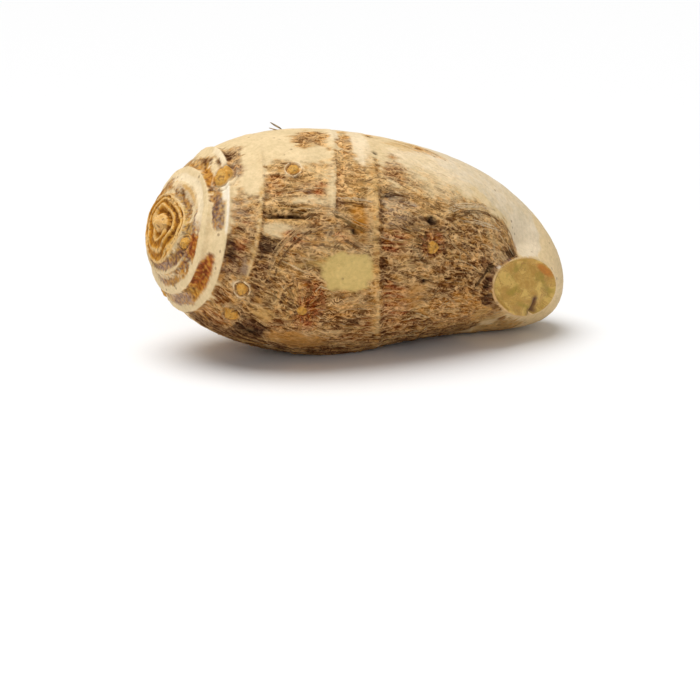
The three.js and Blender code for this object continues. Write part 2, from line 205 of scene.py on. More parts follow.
# The sphere direction leans at both ends and is skewed, then x = a u, y = b f(u) m.y + sway u2,
# z = b f(u) m.z - sag u2 - droop u3, turned nose up, swollen and bent at the scar end
def roundBody(psi, theta):
    n = direction(*aroundTip(psi, theta))
    nearTip = np.clip(-n[..., 0], 0, 1) ** 2
    nearScar = np.clip(n[..., 0], 0, 1) ** 2
    m = n.copy()
    m[..., 1] -= nearTip * form["tipLean"][0] + nearScar * form["scarLean"][0]
    m[..., 2] += nearTip * form["tipLean"][1] + nearScar * form["scarLean"][1]
    m[..., 0] += form["skew"] * n[..., 1]
    m = unit(m)
    u = m[..., 0]
    girth = form["girth"] * sum(c * u ** k for k, c in enumerate(form["taper"]))
    x = form["halfLength"] * u
    y = girth * m[..., 1] + form["sway"] * u ** 2
    z = girth * m[..., 2] - form["sag"] * u ** 2 - form["droop"] * u ** 3
    c, s = math.cos(math.radians(form["noseUp"])), math.sin(math.radians(form["noseUp"]))
    point = np.stack((c * x + s * z, y, c * z - s * x), axis=-1)
    pull, side, level = form["swellCentre"]
    outward = point - np.stack((pull * point[..., 0], side + 0 * u, level + 0 * u), axis=-1)
    point = point + unit(outward) * swell(n)[..., None]
    return point + neckAxis * (form["endBend"] * smoothStep((u - 0.5) / 0.5))[..., None]


# Points near the scar slide along the neck's axis onto the plane of the cut
def bodyPoint(psi, theta):
    point = roundBody(psi, theta)
    radius, depth = neckPlace(point)
    slide = ((neckCentre - point) @ scarNormal) / (neckAxis @ scarNormal)
    hold = (1 - smoothStep((radius - 1) / neck["blend"])) * (1 - smoothStep((depth - 2) / neck["depth"]))
    return point + neckAxis * (slide * hold)[..., None]


# Two tangents from small steps along the angles, in millimetres per degree, and the normal
def bodyFrame(psi, theta):
    step = 0.4
    p = np.clip(psi, step, 180 - step)
    along = (bodyPoint(p + step, theta) - bodyPoint(p - step, theta)) / (2 * step)
    around = (bodyPoint(p, theta + step) - bodyPoint(p, theta - step)) / (2 * step)
    return along, around, unit(np.cross(around, along))


# First angle from the scar end that is off the cut, for each meridian
def scarRim(theta):
    angles = np.arange(180, 110, -0.25)[:, None]
    radius = neckPlace(roundBody(angles + 0 * theta[None], angles * 0 + theta[None]))[0]
    return angles[np.argmax(radius >= 1, axis=0), 0]


def ringAngle(ring, theta):
    at, slant, toward = ring[:3]
    wobble = ringWobble * np.sin(np.radians(3 * theta + 40 * at))
    return at + slant * np.cos(np.radians(theta - toward)) + wobble


rimThetas = np.arange(0, 361, 2.0)
rimPsis = scarRim(rimThetas)
arcPsis = np.arange(0, 181, 1.0)
arcSteps = np.linalg.norm(np.diff(bodyPoint(arcPsis, arcPsis * 0 + 90), axis=0), axis=1)
arcLengths = np.concatenate(([0], np.cumsum(arcSteps)))
fibreGirth = 27.0  # radius in millimetres at which the grain's coordinates are true to size
scarTheta = 88.0  # the theta at which the scar faces


# Grain coordinates in millimetres: arc length from the tip, girth cos theta, girth sin theta.
# The lines of equal theta are drawn apart towards the scar, so the grain flows round it.
def grainAt(psi, theta):
    aside = angleGap(theta, scarTheta)
    turn = np.radians(theta - 0.6 * aside * smoothStep((psi - 96) / 46) * np.exp(-(aside / 75) ** 2))
    return np.stack((np.interp(psi, arcPsis, arcLengths),
                     fibreGirth * np.cos(turn), fibreGirth * np.sin(turn)), axis=-1)


# What paint and relief need at points of the skin: place, tangents, normal, grain coordinates,
# degrees past the scar's rim, and how far inside the rim
def siteAt(psi, theta):
    psi, theta = np.broadcast_arrays(np.asarray(psi, float), np.asarray(theta, float))
    along, around, normal = bodyFrame(psi, theta)
    return {"psi": psi, "theta": theta, "point": bodyPoint(psi, theta), "normal": normal,
            "along": along, "around": around, "grain": grainAt(psi, theta),
            "beyondRim": psi - np.interp(theta % 360, rimThetas, rimPsis),
            "inside": 1 - neckPlace(roundBody(psi, theta))[0]}


# Millimetres per degree of psi and of theta at one place
def scaleAt(psi, theta):
    along, around = bodyFrame(np.array([float(psi)]), np.array([float(theta)]))[:2]
    return np.linalg.norm(along[0]), np.linalg.norm(around[0])


# Offset in millimetres, along and round the root, from a feature's middle
def offsetFrom(site, psi, theta):
    alongScale, aroundScale = scaleAt(psi, theta)
    return (site["psi"] - psi) * alongScale, angleGap(site["theta"], theta) * aroundScale


# Distance from a pit's middle in radii
def pitPlace(site, at, middle, radius):
    p, t = offsetFrom(site, at, middle)
    return np.hypot(p / pitStretch, t) / radius


# sRGB colours of the skin, 0 to 255
palette = {
    "cream": (228, 202, 156), "pale": (238, 216, 178), "ivory": (244, 230, 206), "sand": (206, 166, 104),
    "tan": (186, 136, 72), "brown": (142, 84, 34), "umber": (88, 48, 20), "dark": (40, 22, 13),
    "golden": (192, 126, 36), "honey": (216, 164, 78), "amber": (162, 90, 24), "rust": (158, 74, 22),
    "red": (108, 42, 24), "purple": (108, 74, 66), "grey": (154, 130, 110), "lilac": (172, 142, 122),
    "plum": (60, 34, 30), "taupe": (142, 102, 60), "lemon": (212, 184, 116), "bluish": (134, 130, 132),
    "beige": (227, 209, 178), "flesh": (182, 138, 60), "fleshPale": (212, 174, 90), "olive": (162, 134, 46),
    "orange": (186, 118, 34), "moss": (112, 84, 42),
    "peach": (230, 190, 128), "bark": (112, 74, 37), "thread": (216, 178, 126),
}


def linear(rgb):
    c = np.asarray(rgb, float) / 255
    return np.where(c <= 0.04045, c / 12.92, ((c + 0.055) / 1.055) ** 2.4)


# Patches of the skin in the order they are laid down: psi, theta, half widths in psi and theta,
# colour, strength, bark (0 smooth, 1 rough), raggedness of the edge
patches = (
    # the sandy bark of the body
    # the broad brown under the body is partly the bark's colour and partly painted shade
    (80, 158, 46, 34, "brown", 0.6, 0.7, 1),
    (45, 108, 8, 62, "bark", 0.8, 0.7, 0.9),
    (60, 100, 12, 66, "bark", 0.75, 0.75, 0.9),
    (81, 100, 12, 70, "bark", 0.75, 0.8, 0.9),
    (100, 104, 13, 58, "bark", 0.9, 0.8, 0.9),
    (118, 98, 12, 52, "bark", 0.95, 0.85, 1),
    (62, 50, 12, 16, "sand", 0.6, 0.8, 0.9),
    (81, 46, 9, 18, "sand", 0.6, 0.8, 0.9),
    (104, 52, 12, 12, "sand", 0.7, 0.6, 0.9),
    (62, 92, 4, 10, "sand", 0.5, 0.7, 0.8),
    (134, 64, 10, 26, "taupe", 0.7, 0.7, 1),
    (132, 128, 14, 28, "tan", 0.8, 0.4, 0.9),
    # growing tip to the second ring
    (18.4, 4, 2.6, 34, "lilac", 0.4, 0.3, 0.8),
    (15.6, 28, 1.7, 52, "taupe", 0.8, 0.5, 0.7),
    (18.4, 84, 2.6, 16, "moss", 0.7, 0.5, 0.7),
    (18.6, 245, 2.6, 80, "tan", 0.8, 0.45, 0.4),
    (19.4, 138, 2.8, 30, "taupe", 0.85, 0.5, 0.7),
    (16.8, -6, 1.2, 11, "umber", 0.8, 0.4, 0.8),
    (20.6, 130, 2.4, 14, "purple", 0.75, 0.4, 0.7),
    (18.6, 172, 1.8, 24, "lilac", 0.9, 0.5, 0.6),
    (24, 176, 2, 18, "lilac", 0.8, 0.5, 0.7),
    (21.6, 70, 2.4, 20, "lilac", 0.9, 0.3, 0.8),
    (22, 58, 1.3, 6, "grey", 0.7, 0.3, 0.8),
    (22.6, 103, 2.7, 17, "rust", 0.95, 0.6, 0.6),
    (24.2, 97, 1, 6, "golden", 0.8, 0.5, 0.6),
    (22.4, 129, 2.4, 12, "purple", 0.8, 0.5, 0.8),
    (24.4, 140, 1.2, 8, "golden", 0.85, 0.5, 0.8),
    (24, 162, 3, 14, "taupe", 0.85, 0.4, 0.9),
    (22, 305, 3, 20, "brown", 0.7, 0.5, 0.9),
    (21, 235, 3, 30, "taupe", 0.8, 0.5, 0.9),
    # third to fourth ring
    (33, 230, 4, 60, "sand", 0.7, 0.2, 0.5),
    (31, -12, 3.4, 14, "tan", 0.85, 0.4, 0.8),
    (33.4, -6, 2, 7, "umber", 0.9, 0.6, 0.8),
    (30, 18, 2.3, 18, "golden", 0.9, 0.4, 0.6),
    (29.4, 33, 1.5, 4, "umber", 0.9, 0.5, 0.7),
    (30.6, 44, 2.8, 7, "brown", 0.7, 0.6, 0.7),
    (31.6, 64, 3.6, 16, "grey", 0.95, 0.5, 0.25),
    (30, 62, 1.7, 12, "purple", 0.6, 0.5, 0.6),
    (31, 126, 3.2, 24, "rust", 0.95, 0.5, 0.3),
    (30.6, 120, 1.2, 7, "red", 0.75, 0.5, 0.7),
    (31.8, 138, 2, 6, "amber", 0.8, 0.4, 0.7),
    (31.8, 152, 3.2, 13, "tan", 0.85, 0.5, 0.6),
    (30.6, 148, 1.4, 7, "moss", 0.8, 0.5, 0.7),
    (33, 148, 1.6, 6, "golden", 0.8, 0.4, 0.7),
    (32.4, 172, 3.2, 18, "lilac", 0.9, 0.3, 0.6),
    (33.4, 172, 1.4, 5, "purple", 0.5, 0.3, 0.8),
    (32, 215, 3, 18, "brown", 0.8, 0.6, 0.9),
    (32, 270, 3, 22, "golden", 0.7, 0.4, 0.9),
    (32, 320, 3, 18, "taupe", 0.7, 0.4, 0.9),
    (31, 92.5, 5.8, 8.5, "cream", 1, 0, 0.3),
    # fourth to fifth ring
    (50, -5, 11, 30, "cream", 1, 0, 0.8),
    (41, 12, 5, 15, "umber", 0.95, 0.8, 0.8),
    (47.4, 41, 4.6, 12, "cream", 0.95, 0, 0.5),
    (42.2, 31, 2.4, 7, "purple", 0.85, 0.5, 0.7),
    (41.4, 61, 3.8, 11, "grey", 0.7, 0.6, 0.8),
    (44.8, 73, 1.8, 5, "rust", 0.7, 0.7, 0.9),
    (41, 77, 3.6, 3, "brown", 0.6, 0.8, 0.8),
    (41.4, 91, 5, 13, "umber", 0.85, 0.6, 0.8),
    (43.4, 88, 3.2, 5, "rust", 0.7, 0.6, 0.8),
    (39.6, 95, 3, 9, "plum", 0.9, 0.5, 0.8),
    (43.4, 92, 1.6, 4, "red", 0.8, 0.8, 0.8),
    (40.2, 106, 3.6, 8, "purple", 0.9, 0.7, 0.8),
    (46.6, 101, 2.1, 5.6, "grey", 0.85, 0.1, 0.4),
    (41, 127, 3.8, 8, "brown", 0.9, 0.7, 0.9),
    (41.8, 131, 2, 4, "red", 0.6, 0.7, 0.9),
    (46, 127, 2.6, 2.6, "tan", 0.7, 0.3, 0.7),
    (43, 153, 5.4, 10, "amber", 0.8, 0.5, 0.8),
    (46, 163, 8, 9, "umber", 0.8, 0.5, 0.9),
    # fifth to sixth ring
    (56, 5, 9, 20, "cream", 1, 0, 0.8),
    (64, 28, 6.5, 7, "cream", 0.95, 0.05, 0.7),
    (55.4, 50, 3.2, 8, "brown", 0.9, 0.9, 0.8),
    (67.4, 52, 4.6, 3.8, "purple", 0.9, 0.5, 0.5),
    (70.6, 53, 1.9, 3.4, "rust", 0.9, 0.5, 0.6),
    (66, 58.6, 8, 2.6, "cream", 0.85, 0.1, 0.6),
    (60, 64, 8, 3.8, "moss", 0.85, 1, 0.4),
    # painted shade in the fold's slit
    (60, 67.6, 8, 1.1, "dark", 0.9, 0.3, 0.2),
    (60.5, 70.6, 8.5, 1.7, "sand", 0.9, 0.4, 0.3),
    (56.6, 75.4, 5.4, 4.2, "cream", 0.95, 0.1, 0.35),
    (53.9, 87, 4.2, 7.4, "plum", 0.86, 0.7, 0.6),
    (54.4, 90, 1.6, 1.8, "grey", 0.6, 0.6, 0.7),
    (53.3, 103, 3.2, 8.5, "purple", 0.85, 0.9, 0.9),
    (53.2, 119, 1.6, 2.2, "tan", 0.9, 0, 0.2),
    (51.2, 119, 0.9, 4, "umber", 0.8, 0.5, 0.6),
    (57, 129, 3.6, 5.6, "sand", 0.9, 0.1, 0.4),
    (54.6, 148, 5.4, 14, "plum", 1, 0.6, 0.6),
    (54, 150, 4.4, 9, "dark", 0.9, 0.6, 0.7),
    (62.4, 79, 3.4, 3.4, "rust", 0.85, 0.8, 0.8),
    (62, 87.5, 2.2, 1.8, "brown", 0.8, 0.9, 0.8),
    (71.2, 70.5, 2.6, 2.6, "brown", 0.85, 0.8, 0.8),
    (59.2, 107, 1.4, 4, "taupe", 0.8, 0.8, 0.8),
    (64, 109, 3.8, 8.5, "grey", 0.85, 1, 0.6),
    (70.4, 112, 4.4, 13, "rust", 0.9, 1, 0.6),
    (67, 100.5, 4.4, 2.4, "taupe", 0.85, 1, 0.7),
    (70, 128, 3.6, 5, "rust", 0.9, 1, 0.7),
    (65.4, 124, 2.6, 5, "brown", 0.7, 1, 0.8),
    (68, 117.5, 1.4, 3, "honey", 0.75, 0.5, 0.7),
    (62.2, 132, 2.4, 3, "brown", 0.85, 0.9, 0.8),
    (69.4, 14, 5.4, 10, "tan", 0.8, 0.9, 1),
    (67, 10, 2.2, 3, "brown", 0.55, 0.8, 1),
    # the middle
    (69.5, 143, 9, 8, "tan", 0.9, 0.15, 0.6),
    (76.5, 134, 6, 2.4, "cream", 0.6, 0.2, 0.6),
    (80.4, 20, 3.4, 8, "tan", 0.85, 0.9, 0.9),
    (78.2, 48, 3.6, 10, "brown", 0.75, 0.9, 0.9),
    (77, 61, 2.6, 3.4, "purple", 0.85, 0.7, 0.7),
    (82.8, 52, 3, 9, "honey", 0.5, 0.6, 0.9),
    (81.6, 58, 5, 12, "sand", 0.7, 0.5, 0.8),
    (83.6, 67, 3.8, 8, "golden", 0.95, 0.3, 0.6),
    (76.6, 69.5, 3.6, 2.4, "moss", 0.8, 0.9, 0.8),
    (77.6, 78, 3.2, 3.4, "rust", 0.95, 0.8, 0.7),
    (83, 79.5, 4, 1.8, "brown", 0.7, 0.9, 0.8),
    (80.6, 95.5, 7.6, 10.5, "lemon", 0.97, 0.03, 0.35),
    (72, 91.5, 5.2, 4, "lemon", 0.7, 0.1, 0.8),
    (79.6, 117, 6.2, 8.5, "taupe", 0.85, 1, 0.9),
    (82, 126, 4, 2.4, "umber", 0.7, 0.8, 0.9),
    (86.3, 122.5, 1.4, 4.4, "plum", 0.85, 0.6, 0.5),
    (88.4, 128, 2, 9, "amber", 0.6, 0.4, 0.7),
    (84.6, 139, 5.2, 3.6, "brown", 0.85, 0.7, 0.8),
    # seventh ring to the rough collar
    (93.2, 41, 3.2, 7.5, "brown", 0.9, 0.9, 0.8),
    (93.8, 60, 3.8, 5, "bluish", 0.75, 0.5, 0.9),
    (91.4, 55.4, 2.6, 1.3, "dark", 0.85, 0.4, 0.6),
    (93.4, 67.5, 3.4, 4.5, "grey", 0.75, 0.8, 0.7),
    (93.4, 80, 4, 5.6, "rust", 0.9, 0.9, 0.8),
    (92, 92, 2.6, 6, "umber", 0.7, 0.9, 0.8),
    (95.6, 114, 4.4, 12, "rust", 0.7, 0.6, 0.7),
    (100.6, 110, 2.6, 8, "tan", 0.75, 0.15, 0.6),
    (93.2, 129, 2.6, 7, "umber", 0.8, 0.8, 0.8),
    (99, 131, 8, 6, "brown", 0.8, 0.8, 0.9),
    (104, 80, 4.6, 7, "umber", 0.75, 1, 0.8),
    (107.6, 88.5, 2.6, 2.6, "taupe", 0.8, 0.4, 0.6),
    (104, 27, 12, 15, "pale", 0.95, 0.1, 0.8),
    (107, 47, 8, 7, "sand", 0.7, 0.5, 0.9),
    (104, 42, 9, 9, "cream", 0.85, 0.2, 1),
    (122, 2, 22, 26, "beige", 0.95, 0.05, 0.9),
    (146, 8, 13, 24, "beige", 0.95, 0.05, 0.7),
    (94.5, 13, 3.4, 5, "sand", 0.6, 0.1, 1),
    (101, 9, 4.6, 4.4, "tan", 0.8, 0.85, 1),
    (82, 5, 4, 4, "tan", 0.8, 0.85, 1),
    (92.4, 30, 1, 2.6, "brown", 0.8, 0.3, 0.7),
    (121, 41, 6, 5, "sand", 0.7, 0.6, 1),
    (116, 53, 4.4, 1.6, "umber", 0.8, 0.9, 0.8),
    (118, 65, 9, 5.6, "taupe", 0.75, 0.9, 0.9),
    (127, 49, 8, 7, "taupe", 0.5, 0.7, 1),
    (113.4, 77, 3, 2.4, "umber", 0.75, 0.8, 0.8),
    (119, 87, 8, 6, "taupe", 0.85, 0.9, 0.9),
    (106, 108, 2.6, 1.8, "umber", 0.7, 0.8, 0.8),
    (107, 139, 2.6, 3.2, "umber", 0.85, 0.6, 0.8),
    (113, 123, 9, 12, "tan", 0.7, 0.7, 0.9),
    (116, 137, 11, 7, "brown", 0.7, 0.6, 0.9),
    (121.6, 135.6, 1.6, 1.6, "umber", 0.9, 0.6, 0.6),
    (124, 111, 3, 4, "umber", 0.75, 0.6, 0.8),
    (131.5, 139, 6, 5.4, "sand", 0.85, 0.2, 0.7),
    (141, 150, 5, 8, "taupe", 0.6, 0.3, 0.8),
    (144.6, 147, 1.7, 4, "umber", 0.85, 0.4, 0.7),
    (139, 160, 12, 6, "sand", 0.8, 0.2, 0.8),
    (142.6, 171, 3, 4.4, "brown", 0.85, 0.3, 0.6),
    (138, 44, 12, 12, "taupe", 0.85, 0.6, 1),
    (127, 100, 8, 20, "umber", 0.6, 0.8, 1),
    (131, 94, 5, 16, "umber", 0.85, 0.6, 0.7),
    (141.4, 36, 2.3, 5.6, "umber", 0.8, 0.5, 0.7),
    (147, 31, 3, 4, "brown", 0.7, 0.3, 0.8),
    # underneath: the umber and brown here are partly the skin's colour and partly painted shade
    (68, 162, 20, 13, "umber", 0.9, 0.6, 0.9),
    (50, 172, 14, 12, "umber", 0.9, 0.5, 0.9),
    (60, 195, 14, 16, "tan", 0.7, 0.5, 0.9),
    (95, 178, 24, 26, "brown", 0.8, 0.7, 0.9),
    (114, 160, 16, 12, "umber", 0.85, 0.5, 0.9),
    (135, 190, 14, 18, "sand", 0.8, 0.3, 0.9),
)

# Bands that follow a leaf scar: its number, start and stop in degrees past its crest, middle
# theta and half width, colour, strength, bark
bands = (
    (0, -1, 0.4, 0, 400, "peach", 0.9, 0.1),
    (0, 0.2, 1.1, 50, 26, "lemon", 0.8, 0.15),
    (1, -1.3, 0.2, 190, 75, "cream", 0.9, 0.1),
    (1, -1.3, 0.2, 10, 26, "honey", 0.5, 0.1),
    (1, 0, 2.4, 172, 18, "cream", 0.7, 0.1),
    (2, -6.4, 0, 18, 60, "pale", 0.95, 0),
    (2, -1.2, 0, 40, 40, "beige", 0.6, 0),
    (2, -2.8, 0, 0, 400, "cream", 0.97, 0),
    (3, -2.6, 0, 0, 400, "cream", 0.97, 0),
    (3, -4, 0, 46, 9, "ivory", 0.9, 0),
    (3, -1.5, 0, 64, 18, "ivory", 0.85, 0),
    (3, -2.4, 0, 8, 18, "pale", 0.95, 0),
    (4, -1.5, 0, 75, 52, "sand", 0.9, 0.15),
    (4, -0.7, -0.1, 75, 40, "cream", 0.7, 0.1),
    (4, -5, 0, 32, 16, "cream", 0.9, 0.05),
    (5, -1.4, 1.6, 4, 14, "pale", 0.9, 0.05),
    (5, -1.6, 0.6, 51, 13, "cream", 0.95, 0.1),
    (6, -5, -0.3, 10, 32, "pale", 0.95, 0.05),
    (6, -3.6, -0.2, 60, 24, "cream", 0.5, 0.3),
    (6, -2, -0.2, 90, 62, "sand", 0.75, 0.3),
    (6, -0.9, -0.1, 130, 30, "cream", 0.6, 0.2),
    # painted shadow just past the seventh leaf scar's crest
    (6, 0, 1.2, 78, 26, "umber", 0.5, 0.7),
    (7, -1, 0, 130, 20, "sand", 0.5, 0.3),
    (4, -1.4, 0, 265, 50, "sand", 0.8, 0.2),
    (5, -1, 0, 265, 46, "sand", 0.6, 0.2),
    (6, -1.8, 0, 262, 52, "cream", 0.75, 0.15),
    (7, -1.2, 0, 270, 46, "sand", 0.7, 0.2),
    (8, -1.2, 0, 265, 44, "cream", 0.6, 0.2),
)
# Bands that follow the scar's rim: start and stop in degrees past it, then as above
rimBands = (
    (-13, -1, 48, 15, "umber", 0.9, 0.5),
    (-9, -2, 50, 10, "dark", 0.8, 0.5),
    (-3.4, -1, 66, 10, "purple", 0.7, 0.2),
    (-9, -2.6, 84, 6.5, "dark", 0.9, 0.6),
    (-5, -1.2, 94, 20, "purple", 0.8, 0.3),
    (-7.4, -3, 102, 5.5, "dark", 0.9, 0.6),
    (-11, -1.4, 121, 8, "plum", 0.92, 0.4),
    (-7, -1.4, 135, 8, "umber", 0.85, 0.4),
    (-3, -0.6, 78, 3, "ivory", 0.75, 0),
    # painted highlight along the rim's raised lip
    (-1.3, 0.3, 135, 75, "thread", 0.85, 0),
    (-0.9, 0.3, 40, 44, "sand", 0.7, 0),
)
# Leaf scars that stand out only part of the way round: middle theta, half width, share elsewhere
ringReach = {
    1: (190, 75, 0.2), 4: (82, 55, 0.2), 5: (40, 30, 0.2),
    6: (96, 52, 0.15), 7: (110, 45, 0.2), 8: (200, 60, 0.2),
}
ringBehind = {"theta": 265, "halfWidth": 50, "share": 0.7}  # they all show at the back
farSide = {"patches": 46, "psi": (40, 140), "theta": (196, 338), "seed": 11}


# Patches of the far side, scattered by a seeded draw in the same colours
def farPatches():
    draw = np.random.default_rng(farSide["seed"])
    kinds = (("brown", 0.85), ("cream", 0.05), ("tan", 0.8), ("umber", 0.9), ("cream", 0.1),
             ("rust", 0.6), ("purple", 0.7), ("sand", 0.3))
    found = [(60, 275, 18, 44, "brown", 0.7, 0.8, 1), (100, 290, 22, 50, "brown", 0.6, 0.8, 1),
             (110, 225, 24, 26, "sand", 0.8, 0.2, 1)]
    for index in range(farSide["patches"]):
        colour, bark = kinds[index % len(kinds)]
        psi, theta = draw.uniform(*farSide["psi"]), draw.uniform(*farSide["theta"])
        wide, high = draw.uniform(2.5, 7), draw.uniform(5, 15)
        found.append((psi, theta, wide, high, colour, draw.uniform(0.6, 0.95), bark, 1))
    return tuple(found)


barkPaint = {
    # painted shade: the bark is darkened underneath and between the fibres
    "underShadeTint": (0.32, 0.52, 0.84),  # shares of red, green and blue taken away underneath
    "gapShadeTint": (0.34, 0.46, 0.56),  # and between the fibres
    "thread": 0.55,  # strength of the pale net of fibres
    "sandIslands": 0.35,
    "umberIslands": 0.4,
    "speckle": 0.4,
    "luminance": (0.21, 0.72, 0.07),
}


# Adds tone (linear colour) and bark (0 smooth to 1 rough) to a site, in layers that each move both
# towards a colour and a roughness by a weight. A patch has weight 1 inside the rounded box
# |p|2.3 + |t|2.3 < 1, and its edge is broken up by noise.
def paint(site):
    shape = site["psi"].shape
    psi, theta = site["psi"].ravel(), site["theta"].ravel()
    point, grain = site["point"].reshape(-1, 3), site["grain"].reshape(-1, 3)
    flat = {"psi": psi, "theta": theta, "point": point}
    tone = np.tile(linear(palette["cream"]), (len(psi), 1))
    bark = np.full(len(psi), 0.06)

    def lay(chosen, weight, colour, rough):
        tone[chosen] += (linear(palette[colour]) - tone[chosen]) * weight[..., None]
        bark[chosen] += (rough - bark[chosen]) * weight

    def wash(weight, colour, rough):
        lay(slice(None), weight, colour, rough)

    offTip = smoothStep((psi - 33) / 8)
    shiftPsi = 5 * (layeredNoise(point / 3.6, 2, 5) - 0.5)
    shiftPsi += (3.4 * offTip * (noise(grain / (4, 1, 1), 21) - 0.5)
                 + 1.2 * (1 - offTip) * (noise(point / 1.8, 21) - 0.5))
    shiftTheta = 17 * (layeredNoise(point / 3, 2, 9) - 0.5)
    specks = (offTip * layeredNoise(grain / (2.6, 0.9, 0.9), 2, 23)
              + (1 - offTip) * layeredNoise(point / 0.9, 2, 23) - 0.5)
    blotches = layeredNoise(point / 1.7, 2, 27)
    for order, patch in enumerate(farPatches() + patches):
        at, middle, wide, high, colour, strength, rough, ragged = patch
        aside = angleGap(theta, middle)
        near = np.flatnonzero((np.abs(psi - at) < wide + 5) & (np.abs(aside) < high + 12))
        p = (psi[near] - at + ragged * min(1, wide / 8) * shiftPsi[near]) / wide
        t = (aside[near] + ragged * min(1, high / 16) * shiftTheta[near]) / high
        soft = (0.3 + 0.7 * ragged) / min(wide, high / thetaPerPsi)
        off = (np.abs(p) ** 2.3 + np.abs(t) ** 2.3) ** (1 / 2.3) + 5 * ragged * soft * specks[near]
        inside = 1 - smoothStep((off - 1 + soft) / (2 * soft))
        holes = smoothStep((np.sin(9 * blotches[near] + 2.1 * order) - 0.2) / 0.8) * (ragged > 0.75)
        lay(near, strength * (1 - 0.4 * holes) * inside, colour, rough)
    beyondRim = site["beyondRim"].ravel()
    for number, *band in bands + tuple((-1, *band) for band in rimBands):
        start, stop, middle, high, colour, strength, rough = band
        past = beyondRim if number < 0 else psi - ringAngle(leafScars[number], theta)
        past = past + 0.5 * specks
        aside = np.abs(angleGap(theta, middle) + 0.6 * shiftTheta) / high
        near = np.flatnonzero((past > start - 1) & (past < stop + 1) & (aside < 1.2))
        rise = smoothStep((past[near] - start + 0.2 + 0.3 * shiftPsi[near]) / 0.6)
        fall = 1 - smoothStep((past[near] - stop + 0.15) / 0.3)
        lay(near, strength * rise * fall * (1 - smoothStep((aside[near] - 0.7) / 0.45)), colour, rough)
    # painted shade: a thin dark line at the foot of each leaf scar's step, under its lip
    worn = noise(point / 4.5, 31)
    for number, ring in enumerate(leafScars):
        past = psi - ringAngle(ring, theta) + 0.6 * specks
        foot = smoothStep(past / 0.3) * (1 - smoothStep((past - 0.5) / 0.9)) * ringShare(number, theta)
        wash(foot * ring[3] * smoothStep(2 * bark) * smoothStep(1.6 * (1 - worn)) * 0.7, "umber", 0.5)
    shaggy = 0 * psi
    for at, middle, radius, _, grey in mounds:
        off, spoke, streak = moundPlace(flat, at, middle, radius)
        near = np.flatnonzero(off < 1.15)
        off, streak = off[near], streak[near]
        inside = 1 - smoothStep((off - 0.85) / 0.2)
        shaggy[near] = inside
        left = grey * smoothStep(0.1 - 1.1 * np.cos(spoke[near]))
        lay(near, 0.6 * inside * left, "grey", 0.9)
        lay(near, 0.7 * inside * (1 - left), "rust", 0.9)
        lay(near, 0.85 * inside * smoothStep((0.5 - streak) * 8), "umber", 0.6)
        lay(near, inside * smoothStep((streak - 0.54) * 8) * (0.15 + 0.5 * left), "pale", 0.6)
        rim = smoothStep(1.2 - np.abs(off - 1) / 0.08) * smoothStep(2 * left)
        lay(near, 0.9 * (rim * smoothStep(3 * blotches[near])), "thread", 0.3)
    for at, middle, radius, _, ring in buds:
        off = budPlace(flat, at, middle, radius)
        near = np.flatnonzero(off < 2)
        off = off[near]
        dome = 1 - smoothStep((off - 0.9) / 0.1)
        broken = smoothStep(2.2 * blotches[near] - 0.3)
        grains = layeredNoise(point[near] / 0.5, 2, 29)
        lay(near, 0.9 * ring * smoothStep(1.4 - np.abs(off - 1.45) / 0.2) * broken, "pale", 0.05)
        lay(near, (0.25 + 0.25 * ring) * smoothStep(1.3 - np.abs(off - 1.12) / 0.12), "umber", 0.1)
        lay(near, 0.95 * (1 - smoothStep((off - 0.95) / 0.1)), "honey", 0.1)
        lay(near, 0.6 * dome * smoothStep((grains - 0.5) * 6), "golden", 0.1)
        lay(near, 0.8 * dome * smoothStep((0.42 - grains) * 6), "taupe", 0.1)
        lay(near, 0.6 * (1 - smoothStep(off / 0.6)) * smoothStep((grains - 0.45) * 5), "lemon", 0.1)
    for at, middle, radius, _ in pits:
        off = pitPlace(flat, at, middle, radius) + 1.2 * specks
        wash(1 - smoothStep((off - 0.7) / 0.5), "dark", 0)
    # the growing tip inside the first leaf scar
    whorl = tipWhorl(psi, theta, point)
    tipShare = 1 - smoothStep((psi - ringAngle(leafScars[0], theta) + 0.9 + 1.5 * specks) / 0.6)
    wash(tipShare, "golden", 0.1)
    wash(0.8 * tipShare * smoothStep(0.4 + whorl), "honey", 0.05)
    wash(0.8 * tipShare * smoothStep(1.6 * whorl - 0.9 + blotches), "peach", 0.05)
    shadeSide = 0.25 + 0.75 * smoothStep(0.5 + 0.8 * np.cos(np.radians(theta - 55)))
    shade = smoothStep(0.35 - 1.1 * whorl + 2.4 * (blotches - 0.5)) * smoothStep((psi - 2.5) / 2.5)
    wash(0.85 * tipShare * shade * shadeSide, "umber", 0.1)
    wash(0.8 * (1 - smoothStep((psi - 3.4 - specks) / 1.4)), "peach", 0)
    tipMottle = (1 - offTip) * np.maximum(smoothStep(3 * bark), 0.8 * tipShare)
    mottle = layeredNoise(point / 0.65, 2, 34)
    wash(0.55 * tipMottle * smoothStep((mottle - 0.54) * 8), "honey", 0.4)
    wash(0.6 * tipMottle * smoothStep((0.44 - mottle) * 8), "umber", 0.4)
